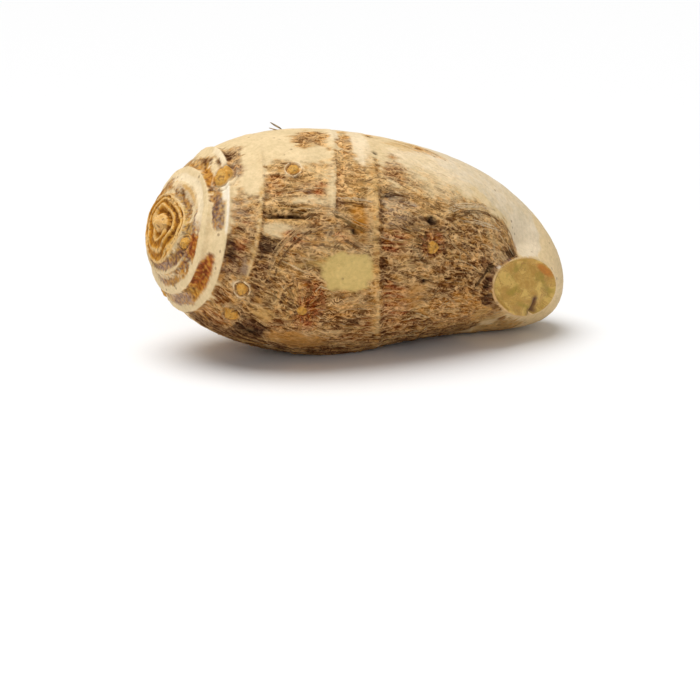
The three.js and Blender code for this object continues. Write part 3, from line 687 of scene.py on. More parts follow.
    # islands of sand and umber break up the bark, and its net of fibres is pale over dark gaps, which are
    # darker skin with painted shade.
    # Pale colours are laid thinly where the tone is dark.
    # painted shade: the bark turns darker and warmer towards the lower side
    below = smoothStep((np.abs(angleGap(theta, 0)) - 68) / 34) * (0.08 + 0.92 * bark) * offTip
    tone *= 1 - below[:, None] * np.array(barkPaint["underShadeTint"])
    lightness = 0.1 + 0.9 * smoothStep(tone @ np.array(barkPaint["luminance"]) / 0.12)
    islands = noise(grain / (4.2, 1.7, 1.7), 35)
    rough = offTip * smoothStep(2 * bark)
    wash(barkPaint["sandIslands"] * lightness * rough * smoothStep((islands - 0.6) * 6), "sand", 0.5)
    wash(barkPaint["umberIslands"] * rough * smoothStep((0.38 - islands) * 6), "umber", 0.7)
    ridges = fibreRidges(grain)
    fibrous = smoothStep(1.5 * bark) * offTip * (1 - shaggy)
    opened = smoothStep(1.5 * noise(grain / (9, 3, 3), 36) - 0.25)
    gap = fibrous * smoothStep((0.45 - ridges) / 0.4) * opened
    tone *= 1 - gap[:, None] * np.array(barkPaint["gapShadeTint"])
    thread = barkPaint["thread"] * fibrous * lightness * smoothStep((ridges - 0.5) / 0.4)
    tone += (linear(palette["thread"]) - tone) * thread[:, None]
    # a fine golden and umber speckle over all but the smoothest skin
    dust = layeredNoise(point / 0.8, 2, 33)
    speckle = barkPaint["speckle"]
    wash(speckle * lightness * smoothStep(3 * bark) * smoothStep((dust - 0.54) * 7), "golden", 0.5)
    wash(speckle * smoothStep(3 * bark) * smoothStep((0.43 - dust) * 7), "umber", 0.5)
    site["tone"], site["ridges"] = tone.reshape(shape + (3,)), ridges.reshape(shape)
    site["bark"] = (np.clip(bark, 0, 1) * offTip).reshape(shape)
    return site


# Distance from a bud's middle in radii, uneven from side to side
def budPlace(site, at, middle, radius):
    p, t = offsetFrom(site, at, middle)
    return np.hypot(p, t) / radius + 0.16 * (noise(site["point"] / 1.6, 45) - 0.5)


# Distance in radii from the middle of a shaggy bud's disc, which lies above its boss, then the
# angle round the boss and noise drawn out along the radii
def moundPlace(site, at, middle, radius):
    p, t = offsetFrom(site, at, middle)
    off = np.hypot(p, t + 0.3 * radius) / radius + 0.12 * (noise(site["point"] / 2.5, 46) - 0.5)
    spoke = np.arctan2(t, p) + 0.5 * (noise(site["point"] / 2.5, 47) - 0.5)
    rays = np.stack((14 * np.cos(spoke), 14 * np.sin(spoke), 1.4 * off), axis=-1)
    return off, spoke, layeredNoise(rays, 2, 49)


# Whorl of young leaf bases: a cosine of the loops out from the tip less theta / 360, bent by noise
def tipWhorl(psi, theta, point):
    bend = 0.9 * (noise(point / 3.2, 43) - 0.5)
    loops = 3.6 * psi / ringAngle(leafScars[0], theta)
    return np.cos(2 * np.pi * (loops - theta / 360 + bend))


# Distance to the second nearest point of a jittered lattice less that to the nearest: 0 on the
# borders between cells
def cellBorders(points, seed):
    cell = np.floor(points).astype(np.int64)
    nearest = np.full(points.shape[:-1], 9.0)
    second = nearest.copy()
    for corner in range(27):
        at = cell + np.array((corner % 3, corner // 3 % 3, corner // 9)) - 1
        i, j, k = at[..., 0], at[..., 1], at[..., 2]
        spot = at + np.stack([scatter(i, j, k, seed + n) for n in range(3)], axis=-1)
        away = np.linalg.norm(points - spot, axis=-1)
        second = np.minimum(second, np.maximum(nearest, away))
        nearest = np.minimum(nearest, away)
    return second - nearest


# Net of ridges that run with the root and merge: the borders of long cells, bent by noise
def fibreRidges(grain):
    sideways = 2 * (noise(grain / (8, 5, 5), 51) - 0.5) + 0.7 * (noise(grain / (2.6, 2.4, 2.4), 52) - 0.5)
    g = grain + np.stack((0 * sideways, sideways, -sideways), axis=-1)
    return 1 - smoothStep(cellBorders(g / (7.5, 1.9, 1.9), 53) / 0.3)


# Share of a leaf scar's height at theta: whole within its reach, most of it at the back, and
# faint elsewhere
def ringShare(number, theta):
    middle, high, faint = ringReach.get(number, (0, 400, 1))
    inBack = np.abs(angleGap(theta, ringBehind["theta"])) - ringBehind["halfWidth"]
    inReach = np.abs(angleGap(theta, middle)) - high
    shown = faint + (1 - faint) * (1 - smoothStep(inReach / 20))
    return np.maximum(shown, ringBehind["share"] * (1 - smoothStep(inBack / 20)))


# Ring relief: up over the band, down over the step, then back up to nothing
def ringRelief(past, height, band, step):
    rise = smoothStep(1 + past / band)
    fall = 1 - 1.4 * past / step
    recover = -0.4 * (1 - smoothStep((past - step) / 4))
    return height * np.where(past <= 0, rise, np.where(past < step, fall, recover))


# Height of the skin over the smooth body, in millimetres, lowered by sink under the bud pieces
def relief(site, sink=0.0):
    psi, theta, point = site["psi"], site["theta"], site["point"]
    smoothEnd = 1 - smoothStep((site["beyondRim"] + 4) / 5)
    worn = layeredNoise(point / 5, 2, 61)
    height = 0 * psi
    for number, ring in enumerate(leafScars):
        past = psi - ringAngle(ring, theta) + 0.5 * (noise(point / 2.2, 63) - 0.5)
        height += ringRelief(past, ring[3] * (0.5 + 0.8 * worn) * ringShare(number, theta), ring[4], ring[5])
    height += site["bark"] * (0.7 * site["ridges"] - 0.45)
    height += 0.16 * (layeredNoise(point / 1.3, 2, 67) - 0.5)
    for at, middle, radius, top, _ in mounds:
        off, _, streak = moundPlace(site, at, middle, radius)
        inside = 1 - smoothStep((off - 0.8) / 0.2)
        dome = 1 - smoothStep((off - 0.2) / 0.8)
        collar = smoothStep(1 - np.abs(off - 1) / 0.12)
        height += top * dome + 0.7 * (streak - 0.5) * inside * smoothStep(off * 5) + 0.3 * collar
        height -= sink * (1 - smoothStep((off - 0.95) / 0.15))
    for at, middle, radius, top, ring in buds:
        off = budPlace(site, at, middle, radius)
        dome = (1 - np.clip(off, 0, 1) ** 2.2) ** 0.6
        lumps = 0.5 * (noise(point / 0.75, 29) - 0.5) * (1 - smoothStep(off - 0.5))
        moat = np.exp(-((off - 1.1) / 0.16) ** 2)
        collar = np.exp(-((off - 1.45) / 0.22) ** 2) * (0.5 + ring)
        height += top * dome + lumps - 0.3 * moat + 0.3 * collar
        height -= sink * (1 - smoothStep((off - 1.6) / 0.2))
    height -= 0.45 * (1 - smoothStep((psi - 26) / 14))
    hollow = 0.9 * smoothStep(psi / 5) * (1 - smoothStep((psi - 6) / 4))
    knob = 1.3 * (1 - smoothStep((psi - 1) / 4.5)) - hollow
    whorl = 0.34 * tipWhorl(psi, theta, point) * smoothStep(psi / 2) * (1 - smoothStep((psi - 11) / 3))
    lumps = 0.9 * (layeredNoise(point / 1.5, 2, 73) - 0.5) * (1 - smoothStep((psi - 8) / 3))
    height = height * smoothEnd + knob + whorl + lumps
    for at, middle, radius, depth in pits:
        off = pitPlace(site, at, middle, radius)
        height -= depth * (1 - smoothStep((off - 0.3) / 0.8))
    span = smoothStep((psi - fold["from"]) / 2) * smoothStep((fold["to"] - psi) / 2)
    aside = offsetFrom(site, 60, fold["theta"])[1] + 0.5 * (noise(site["grain"] / 5, 77) - 0.5)
    slit = 1 - smoothStep(np.abs(aside) / fold["width"])
    lips = smoothStep(1 - np.abs(np.abs(aside) - 1.9) / 1.9)
    height += span * (0.45 * lips - fold["depth"] * slit)
    return height + scarRelief(site)


# Scar: a lip outside the rim, a dish inside it, and a crack between two points of its face
def scarRelief(site):
    inside = site["inside"]
    away = site["point"] - neckCentre
    across, up = away @ neckAcross, away @ neckUp
    outer = neck["lip"] * smoothStep(1 + site["beyondRim"] / 3)
    uneven = 0.9 * (layeredNoise(site["point"] / 5, 3, 81) - 0.5)
    inner = neck["lip"] - (neck["lip"] + neck["dish"] + uneven) * smoothStep(inside / 0.14)
    (ax, ay), (bx, by) = crack["from"], crack["to"]
    length = math.hypot(bx - ax, by - ay)
    share = np.clip(((across - ax) * (bx - ax) + (up - ay) * (by - ay)) / length ** 2, 0, 1)
    bend = 0.5 * np.sin(5 * share)
    off = np.hypot(across - ax - share * (bx - ax) - bend, up - ay - share * (by - ay))
    cut = crack["depth"] * share ** 0.5 * (1 - smoothStep(off / crack["width"]))
    inner -= cut
    outer -= 0.7 * cut * (np.abs(site["beyondRim"]) < 3)
    site["scarPlace"] = np.stack((across, up, 0 * up), axis=-1)
    # crackNear marks the crack, where the flesh is painted umber as brown with painted shade
    site["crackNear"] = (1 - smoothStep(off / (2 * crack["width"]))) * smoothStep(inside / 0.05)
    return np.where(site["beyondRim"] < 0, outer, inner)


# Skin points in metres in the frame, held up at the resting plane
def skinPoints(site):
    point = site["point"] + site["normal"] * site["height"][..., None]
    point[..., 2] = np.maximum(point[..., 2], form["ground"])
    return (point + np.array(form["offset"])) * metresPerMm


def addObject(name, data):
    thing = bpy.data.objects.new(name, data)
    bpy.context.scene.collection.objects.link(thing)
    return thing


# Quads between the rows of a grid of vertex numbers, each row closed on itself, and fans from its
# first and last rows to one point each
def closedFaces(index, first, last):
    after = np.roll(index, -1, axis=1)
    quads = np.stack((index[:-1], after[:-1], after[1:], index[1:]), axis=-1).reshape(-1, 4)
    return quads, np.concatenate((np.stack((0 * index[0] + first, after[0], index[0]), axis=-1),
                                  np.stack((0 * index[0] + last, index[-1], after[-1]), axis=-1)))


# The same faces for each of a number of copies whose points follow one another
def copyFaces(faces, number, pointsEach):
    base = (np.arange(number) * pointsEach)[:, None, None]
    return [(kind[None] + base).reshape(-1, kind.shape[1]) for kind in faces]


# A mesh object from vertices, quads and triangles, shaded smooth, with its point attributes
def makePiece(name, vertices, quads, triangles, attributes, materials):
    mesh = bpy.data.meshes.new(name)
    mesh.vertices.add(len(vertices))
    mesh.vertices.foreach_set("co", np.asarray(vertices, np.float32).ravel())
    loops = np.concatenate((quads.ravel(), triangles.ravel())).astype(np.int32)
    sides = np.repeat((4, 3), (len(quads), len(triangles))).astype(np.int32)
    mesh.loops.add(len(loops))
    mesh.loops.foreach_set("vertex_index", loops)
    mesh.polygons.add(len(sides))
    mesh.polygons.foreach_set("loop_start", (np.cumsum(sides) - sides).astype(np.int32))
    mesh.polygons.foreach_set("loop_total", sides)
    mesh.update(calc_edges=True)
    mesh.shade_smooth()
    for label, values in attributes.items():
        parts = values.reshape(len(vertices), -1).shape[1]
        kind, key = {1: ("FLOAT", "value"), 3: ("FLOAT_VECTOR", "vector")}[parts]
        layer = mesh.attributes.new(label, kind, "POINT")
        layer.data.foreach_set(key, values.astype(np.float32).ravel())
    for material in materials:
        mesh.materials.append(material)
    piece = addObject(name, mesh)
    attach(piece, "root")
    return piece


skin = {
    "columns": 424,
    "rows": 232,  # between the two poles
    "rimAt": 150,  # row parameter at which the rows follow the scar's rim
    "closer": 3.2,  # how much closer rows stand at the crest of a leaf scar
}


# Row parameters packed closer at each leaf scar's crest and foot, at the tip and at the rim:
# the running sum of that density is inverted
def rowParameters():
    v = np.linspace(0, 180, 3601)
    density = 1 + 2.6 * np.exp(-(v / 12) ** 2) - 0.45 * smoothStep((v - 155) / 8)
    density += 1.6 * (1 - smoothStep((v - 30) / 10))
    for ring in leafScars:
        density += skin["closer"] * np.exp(-((v - ring[0] - 0.8) / 1.3) ** 2) * (0.4 + 0.6 * ring[3])
    density += skin["closer"] * np.exp(-((v - skin["rimAt"]) / 1.6) ** 2)
    total = np.cumsum(density)
    return np.interp(np.linspace(0, total[-1], skin["rows"] + 2)[1:-1], total, v)


# Rows run along the leaf scars and the scar's rim: psi is interpolated between those lines
def rowAngles(v, theta):
    anchors = [0.0] + [ring[0] for ring in leafScars] + [skin["rimAt"], 180.0]
    lines = [0 * theta] + [ringAngle(ring, theta) for ring in leafScars]
    lines += [np.interp(theta, rimThetas, rimPsis), 0 * theta + 180]
    place = np.clip(np.searchsorted(anchors, v, side="right") - 1, 0, len(anchors) - 2)
    low, high = np.array(anchors)[place], np.array(anchors)[place + 1]
    share = ((v - low) / (high - low))[:, None]
    lines = np.array(lines)
    return lines[place] * (1 - share) + lines[place + 1] * share


# The whole skin as one closed grid with a single point at each pole
def buildSkin(materials):
    columns = skin["columns"]
    theta = np.arange(columns) * 360 / columns
    v = rowParameters()
    allPsi = np.concatenate(([0.0], rowAngles(v, theta).ravel(), [180.0]))
    allTheta = np.concatenate(([0.0], np.tile(theta, len(v)), [0.0]))
    site = paint(siteAt(allPsi, allTheta))
    site["height"] = relief(site, budMesh["sink"])
    for end, row in ((0, slice(1, 1 + columns)), (-1, slice(-1 - columns, -1))):
        site["height"][end] = site["height"][row].mean()
        site["tone"][end] = site["tone"][row].mean(axis=0)
        site["normal"][end] = unit(site["normal"][row].mean(axis=0))
    points = skinPoints(site)
    index = 1 + np.arange(len(v) * columns).reshape(-1, columns)
    quads, caps = closedFaces(index, 0, len(points) - 1)
    labels = ("tone", "bark", "grain", "scarPlace", "crackNear")
    piece = makePiece("taroSkin", points, quads, caps, {name: site[name] for name in labels}, materials)
    onScar = np.concatenate((np.repeat(v[:-1] >= skin["rimAt"] - 0.05, columns),
                             np.zeros(columns, bool), np.ones(columns, bool)))
    piece.data.polygons.foreach_set("material_index", onScar.astype(np.int32))
    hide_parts("taro_root")
    print("skin", len(quads) * 2 + len(caps), "triangles")


budMesh = {
    "rings": 24,
    "spokes": 56,
    "reach": 1.75,  # radii
    "moundReach": 1.42,
    "sink": 0.35,  # how far the skin lies below the bud pieces
    "floor": 1.2,  # how far their hidden underside lies below the skin
}


# Finer caps over the buds: rings and spokes about each middle, whose edge dips under the skin and
# is closed by a fan below
def buildBuds(material):
    spokes, rings = budMesh["spokes"], budMesh["rings"]
    capped = [(at, middle, radius * budMesh["reach"]) for at, middle, radius, *_ in buds[:-len(mounds)]]
    capped += [(at, middle, radius * budMesh["moundReach"]) for at, middle, radius, *_ in mounds]
    at, middle, reach = np.array(capped).T
    along, around = bodyFrame(at, middle)[:2]
    share = np.concatenate(([0.0], np.linspace(0, 1, rings + 1)[1:].repeat(spokes)))
    turn = np.concatenate(([0.0], np.tile(np.arange(spokes) * 2 * np.pi / spokes, rings)))
    out = reach[:, None] * share
    psi = at[:, None] + out * np.cos(turn) / np.linalg.norm(along, axis=-1)[:, None]
    theta = middle[:, None] + out * np.sin(turn) / np.linalg.norm(around, axis=-1)[:, None]
    site = paint(siteAt(psi, theta))
    site["height"] = relief(site) - 1.6 * budMesh["sink"] * smoothStep((share - 0.84) / 0.16)
    top = skinPoints(site)
    below = skinPoints(dict(site, height=site["height"] - budMesh["floor"]))
    points = np.concatenate((top, below[:, -spokes:], below[:, :1]), axis=1)
    pointsEach = points.shape[1]
    index = 1 + np.arange((rings + 1) * spokes).reshape(rings + 1, spokes)
    quads, caps = copyFaces(closedFaces(index, 0, pointsEach - 1), len(capped), pointsEach)
    values = {}
    for label in ("tone", "bark", "grain"):
        value = np.concatenate((site[label], site[label][:, -spokes:], site[label][:, :1]), axis=1)
        values[label] = value.reshape((-1,) + value.shape[2:])
    makePiece("buds", points.reshape(-1, 3), quads, caps, values, [material])
    print("buds", len(capped), "caps", len(quads) * 2 + len(caps), "triangles")


# Places where fibres run out from a bud: psi, theta, radius in millimetres
whorls = ((68, 118, 8.5), (84, 264, 7.5), (104, 81, 4.2))
fibres = {
    "count": 420,  # at most, for each of the two pieces
    "tries": 14,  # places tried for each one wanted
    "psi": (18, 148),
    "points": 9,
    "length": (5.0, 14.0),
    "width": (0.18, 0.4),
    "height": 0.2,
    "root": 0.12,  # how far its foot is sunk
    "sway": 0.6,  # radians that the flow turns either way
    "paleness": (0.15, 0.65),
    "colours": ("tan", "sand", "cream", "sand", "tan", "umber"),
    "tuft": 60,  # extra fibres run out from each bud's middle
    "barkKept": 0.22,  # bark that a fibre must keep to all along
    "cordShare": 0.62,  # how far a cord keeps its own colour
    "clearance": 0.5,  # least height over the resting plane
}


# Cords of fibre that stand out singly: colour, half width, strands, spread between them in
# millimetres, height of the loose end over the skin, and psi, theta along the way
cords = (
    ("thread", 0.22, 8, 1.0, 0, ((55, 108), (55.5, 96), (56.5, 86), (62, 77), (66.5, 71.5), (72, 66))),
    ("umber", 0.18, 6, 0.88, 0, ((57, 106), (57.5, 96), (59, 87), (63.5, 79), (68, 74), (73, 69))),
    ("moss", 0.23, 6, 0.75, 0, ((73.5, 66), (78, 69), (82, 73), (87, 77))),
    ("thread", 0.2, 5, 0.62, 0, ((73.5, 64.5), (78, 67), (82, 71), (87.5, 75))),
    ("thread", 0.22, 6, 0.75, 0, ((73, 84), (75, 80), (77.5, 74), (80.5, 78), (83.5, 82), (88, 83.5))),
    ("umber", 0.16, 3, 0.62, 0, ((74, 86), (76, 82), (78, 77.5), (80.5, 81), (83.5, 85), (87, 86))),
    ("umber", 0.16, 5, 0.75, 0, ((75, 59), (79, 60), (82.5, 61), (87, 62.5))),
    ("pale", 0.18, 5, 0.75, 0, ((74, 56.5), (79, 57.5), (83, 58.5), (88, 60))),
    ("pale", 0.22, 8, 1.0, 0, ((107, 59), (109, 56), (111, 53), (115.5, 46), (122.5, 37), (129, 30))),
    ("umber", 0.2, 7, 1.0, 0, ((109, 61), (111, 57), (116, 50), (123, 41), (131, 35))),
    ("pale", 0.18, 6, 1.12, 0, ((112, 60), (117, 56), (123, 51), (129, 46), (134, 43))),
    ("umber", 0.2, 5, 0.5, 0, ((89.8, 57), (92.5, 55), (95, 54.8), (98, 56.5))),
    ("thread", 0.18, 4, 0.75, 0, ((86, 49), (92, 51.5), (99.5, 54), (106, 58))),
    ("thread", 0.18, 6, 1.12, 0, ((106, 71), (110, 74), (114.5, 80), (115, 86), (112, 89))),
    ("thread", 0.18, 6, 1.12, 0, ((61, 90), (64.5, 87), (67.5, 93), (68.5, 99))),
    ("thread", 0.18, 5, 1.0, 0, ((75.5, 117), (79, 112), (84, 109), (90, 116))),
    ("umber", 0.18, 5, 1.0, 0, ((74, 129), (78, 122), (82, 121), (87, 128))),
    ("dark", 0.25, 7, 1.25, 0, ((123, 111), (126, 101), (129, 92), (131, 84))),
    ("thread", 0.18, 6, 1.25, 0, ((103.5, 113), (108.5, 110), (112, 113), (117, 121))),
    ("plum", 0.3, 1, 0, 2.3, ((63.5, -10), (62.5, -10.5), (61, -12), (59.5, -13.5))),
    ("umber", 0.12, 1, 0, 0.9, ((62, -8), (60.5, -9), (59, -9.5))),
)


# Each strand follows its cord's way, eased between the given places, a little to one side
def cordPaths(draw, thetaRange):
    share = np.linspace(0, 1, fibres["points"])
    found = []
    for colour, width, strands, spread, loose, way in cords:
        if not thetaRange[0] < way[0][1] < thetaRange[1]:
            continue
        psi, theta = np.array(way, float).T
        at = np.linspace(0, 1, len(way))
        for _ in range(strands):
            start, stop = draw.uniform(0, 0.12), draw.uniform(0.88, 1)
            k = start + (stop - start) * share
            aside = draw.normal(0, 0.5)
            turns = k * draw.uniform(1, 2) + draw.uniform()
            wave = spread * (aside + 0.5 * np.sin(2 * np.pi * turns))
            p, t = np.interp(k, at, psi) + 0.4 * wave, np.interp(k, at, theta) + wave * thetaPerPsi
            for value in (p, t, p, t):  # rounds the corners of the way
                value[1:-1] = (value[:-2] + 2 * value[1:-1] + value[2:]) / 4
            found.append((p, t, width, loose, linear(palette[colour])))
    return found


# Paths over the skin: each step turns with a smooth flow of noise, or away from a whorl's middle
def fibrePaths(draw, psi, theta, lengths):
    lean = draw.normal(0, 0.12, len(psi))
    steps = fibres["points"] - 1
    path = [(psi, theta)]
    for _ in range(steps):
        along, around = bodyFrame(psi, theta)[:2]
        angle = lean + fibres["sway"] * 2 * (noise(grainAt(psi, theta) / (5, 3.2, 3.2), 91) - 0.5)
        for at, middle, radius in whorls:
            p, t = offsetFrom({"psi": psi, "theta": theta}, at, middle)
            near = np.hypot(p, t) < radius
            angle = np.where(near, np.arctan2(t, p) + 0.35 * lean, angle)
        step = lengths / steps
        psi = psi + step * np.cos(angle) / np.linalg.norm(along, axis=-1)
        theta = theta + step * np.sin(angle) / np.linalg.norm(around, axis=-1)
        path.append((psi, theta))
    return np.array(path).transpose(1, 2, 0)


# Where fibres start, and how long they are: scattered evenly over the bark, with a tuft round the
# middle of each whorl
def fibreStarts(draw, thetaRange):
    tries, number = fibres["count"] * fibres["tries"], fibres["tuft"]
    psi = draw.uniform(*fibres["psi"], tries)
    theta = draw.uniform(*thetaRange, tries)
    site = paint(siteAt(psi, theta))
    area = np.linalg.norm(np.cross(site["along"], site["around"]), axis=-1)
    chance = area / area.max() * smoothStep((site["bark"] - 0.25) / 0.5) * (site["beyondRim"] < -3)
    chance *= 0.3 + 0.7 * smoothStep((psi - 46) / 10)
    keep = np.flatnonzero(draw.uniform(0, 1, tries) < chance)[:fibres["count"]]
    psi, theta = psi[keep], theta[keep]
    lengths = draw.uniform(*fibres["length"], len(psi)) * (0.6 + 0.4 * site["bark"][keep])
    for at, middle, radius in whorls:
        if thetaRange[0] < middle < thetaRange[1]:
            out = draw.uniform(0.12, 0.5, number) * radius
            turn = draw.uniform(0, 2 * np.pi, number)
            alongScale, aroundScale = scaleAt(at, middle)
            psi = np.concatenate((psi, at + out * np.cos(turn) / alongScale))
            theta = np.concatenate((theta, middle + out * np.sin(turn) / aroundScale))
            lengths = np.concatenate((lengths, radius * draw.uniform(0.35, 0.6, number)))
    return psi, theta, lengths


# Which paths keep to the bark, off the scar and over the resting plane
def staysClear(psi, theta):
    site = paint(siteAt(psi, theta))
    offScar = np.interp(theta[:, -1] % 360, rimThetas, rimPsis) - psi[:, -1] > 2.5
    onBark = site["bark"][:, 2::3].min(axis=1) > fibres["barkKept"]
    lowest = (site["point"] + site["normal"] * relief(site)[..., None])[..., 2].min(axis=1)
    return offScar & onBark & (lowest > form["ground"] + fibres["clearance"])


# Fibres as strips with a three-sided section: two feet sunk in the skin and a ridge over them,
# tapering to a point at both ends. The cords' strands come after the scattered ones.
def buildFibres(name, seed, thetaRange, material):
    draw = np.random.default_rng(seed)
    psi, theta = fibrePaths(draw, *fibreStarts(draw, thetaRange))
    clear = staysClear(psi, theta)
    psi, theta = psi[clear], theta[clear]
    named = cordPaths(draw, thetaRange)
    single = len(psi)
    if named:
        psi = np.concatenate((psi, [cord[0] for cord in named]))
        theta = np.concatenate((theta, [cord[1] for cord in named]))
    site = paint(siteAt(psi, theta))
    site["height"] = relief(site)
    k = np.linspace(0, 1, fibres["points"])
    for row, cord in enumerate(named):
        site["height"][single + row] += cord[3] * k ** 1.5
    middle = site["point"] + site["normal"] * site["height"][..., None]
    side = unit(np.cross(site["normal"], unit(np.gradient(middle, axis=1))))
    taper = np.sin(np.pi * k) ** 0.6
    width = draw.uniform(*fibres["width"], len(psi))
    width[single:] = [cord[2] for cord in named]
    lift = fibres["height"] * draw.uniform(0.5, 1.3, len(psi))
    lift[single:] = [max(own, 1.5 * cord[2] * (cord[3] > 1)) for own, cord in zip(lift[single:], named)]
    width, lift = ((value[:, None] * taper)[..., None] for value in (width, lift))
    foot = middle - site["normal"] * fibres["root"]
    ridge = middle + site["normal"] * lift
    rings = np.stack((foot - side * width, foot + side * width, ridge), axis=2)[:, 1:-1]
    number, inner = rings.shape[:2]
    ends = (middle - site["normal"] * fibres["root"] * 0.5)[:, [0, -1]]
    points = np.concatenate((rings.reshape(number, -1, 3), ends), axis=1)
    points[..., 2] = np.maximum(points[..., 2], form["ground"])
    pointsEach = points.shape[1]
    index = np.arange(inner * 3).reshape(inner, 3)
    quads, caps = copyFaces(closedFaces(index, inner * 3, inner * 3 + 1), number, pointsEach)
    pale = draw.uniform(*fibres["paleness"], number)[:, None, None]
    kinds = linear([palette[colour] for colour in fibres["colours"]])
    own = kinds[draw.integers(0, len(kinds), number)][:, None]
    pale = pale * (0.15 + 0.85 * smoothStep(site["tone"][..., 1:2] / 0.1))
    if named:
        own[single:, 0] = [cord[4] for cord in named]
        pale[single:] = fibres["cordShare"]
    site["tone"] = site["tone"] + (own - site["tone"]) * pale
    values = {}
    for label in ("tone", "grain"):
        inside, atEnds = site[label][:, 1:-1], site[label][:, [0, -1]]
        values[label] = np.concatenate((np.repeat(inside, 3, axis=1), atEnds), axis=1).reshape(-1, 3)
    values["bark"] = np.ones(number * pointsEach)
    points = (points.reshape(-1, 3) + np.array(form["offset"])) * metresPerMm
    makePiece(name, points, quads, caps, values, [material])
    print(name, number, "fibres", len(quads) * 2 + len(caps), "triangles")


def newGroup(name, inputs, outputs):
    tree = bpy.data.node_groups.new(name, "ShaderNodeTree")
    for label, kind, value in inputs:
        socket = tree.interface.new_socket(label, in_out="INPUT", socket_type="NodeSocket" + kind)
        if value is not None:
            socket.default_value = value
    for label, kind in outputs:
        tree.interface.new_socket(label, in_out="OUTPUT", socket_type="NodeSocket" + kind)
    return tree, tree.nodes.new("NodeGroupInput").outputs, tree.nodes.new("NodeGroupOutput").inputs


# A node whose inputs, by name or number, are set to a value or linked to a socket
def put(tree, kind, inputs=None, **settings):
    node = tree.nodes.new("ShaderNode" + kind)
    for key, value in settings.items():
        setattr(node, key, value)
    for key, value in (inputs or {}).items():
        if isinstance(value, bpy.types.NodeSocket):
            tree.links.new(value, node.inputs[key])
        else:
            node.inputs[key].default_value = value
    return node


def blendColour(tree, factor, a, b, kind="MIX"):
    node = put(tree, "Mix", {0: factor, 6: a, 7: b}, data_type="RGBA", blend_type=kind)
    return node.outputs[2]


def compute(tree, operation, a, b=0.0, clamp=False, c=0.0):
    return put(tree, "Math", {0: a, 1: b, 2: c}, operation=operation, use_clamp=clamp).outputs[0]


# Value from 0 to 1 between two edges
def between(tree, value, low, high):
    node = put(tree, "MapRange", {0: value, 1: low, 2: high}, interpolation_type="SMOOTHSTEP")
    return node.outputs[0]


# The outputs of a noise texture at a place
def noiseTexture(tree, place, scale, detail, more=None, **settings):
    inputs = {"Vector": place, "Scale": scale, "Detail": detail, **(more or {})}
    return put(tree, "TexNoise", inputs, **settings).outputs


def vectorMath(tree, operation, a, b):
    return put(tree, "VectorMath", {0: a, 1: b}, operation=operation).outputs[0]


grainLook = {
    # painted shade between the fibres, over the darker skin there
    "gapShadeTint": (0.32, 0.2, 0.11, 1),  # multiplies the tone between fibres
    "threadTint": (1.8, 1.7, 1.6, 1),  # and on them
    "thread": (0.8, 0.53, 0.24, 1),
    "speckle": (0.20, 0.115, 0.06, 1),
    "fineScale": 900.0,  # per metre
    "broadScale": 150.0,
    "speckleScale": 420.0,
}
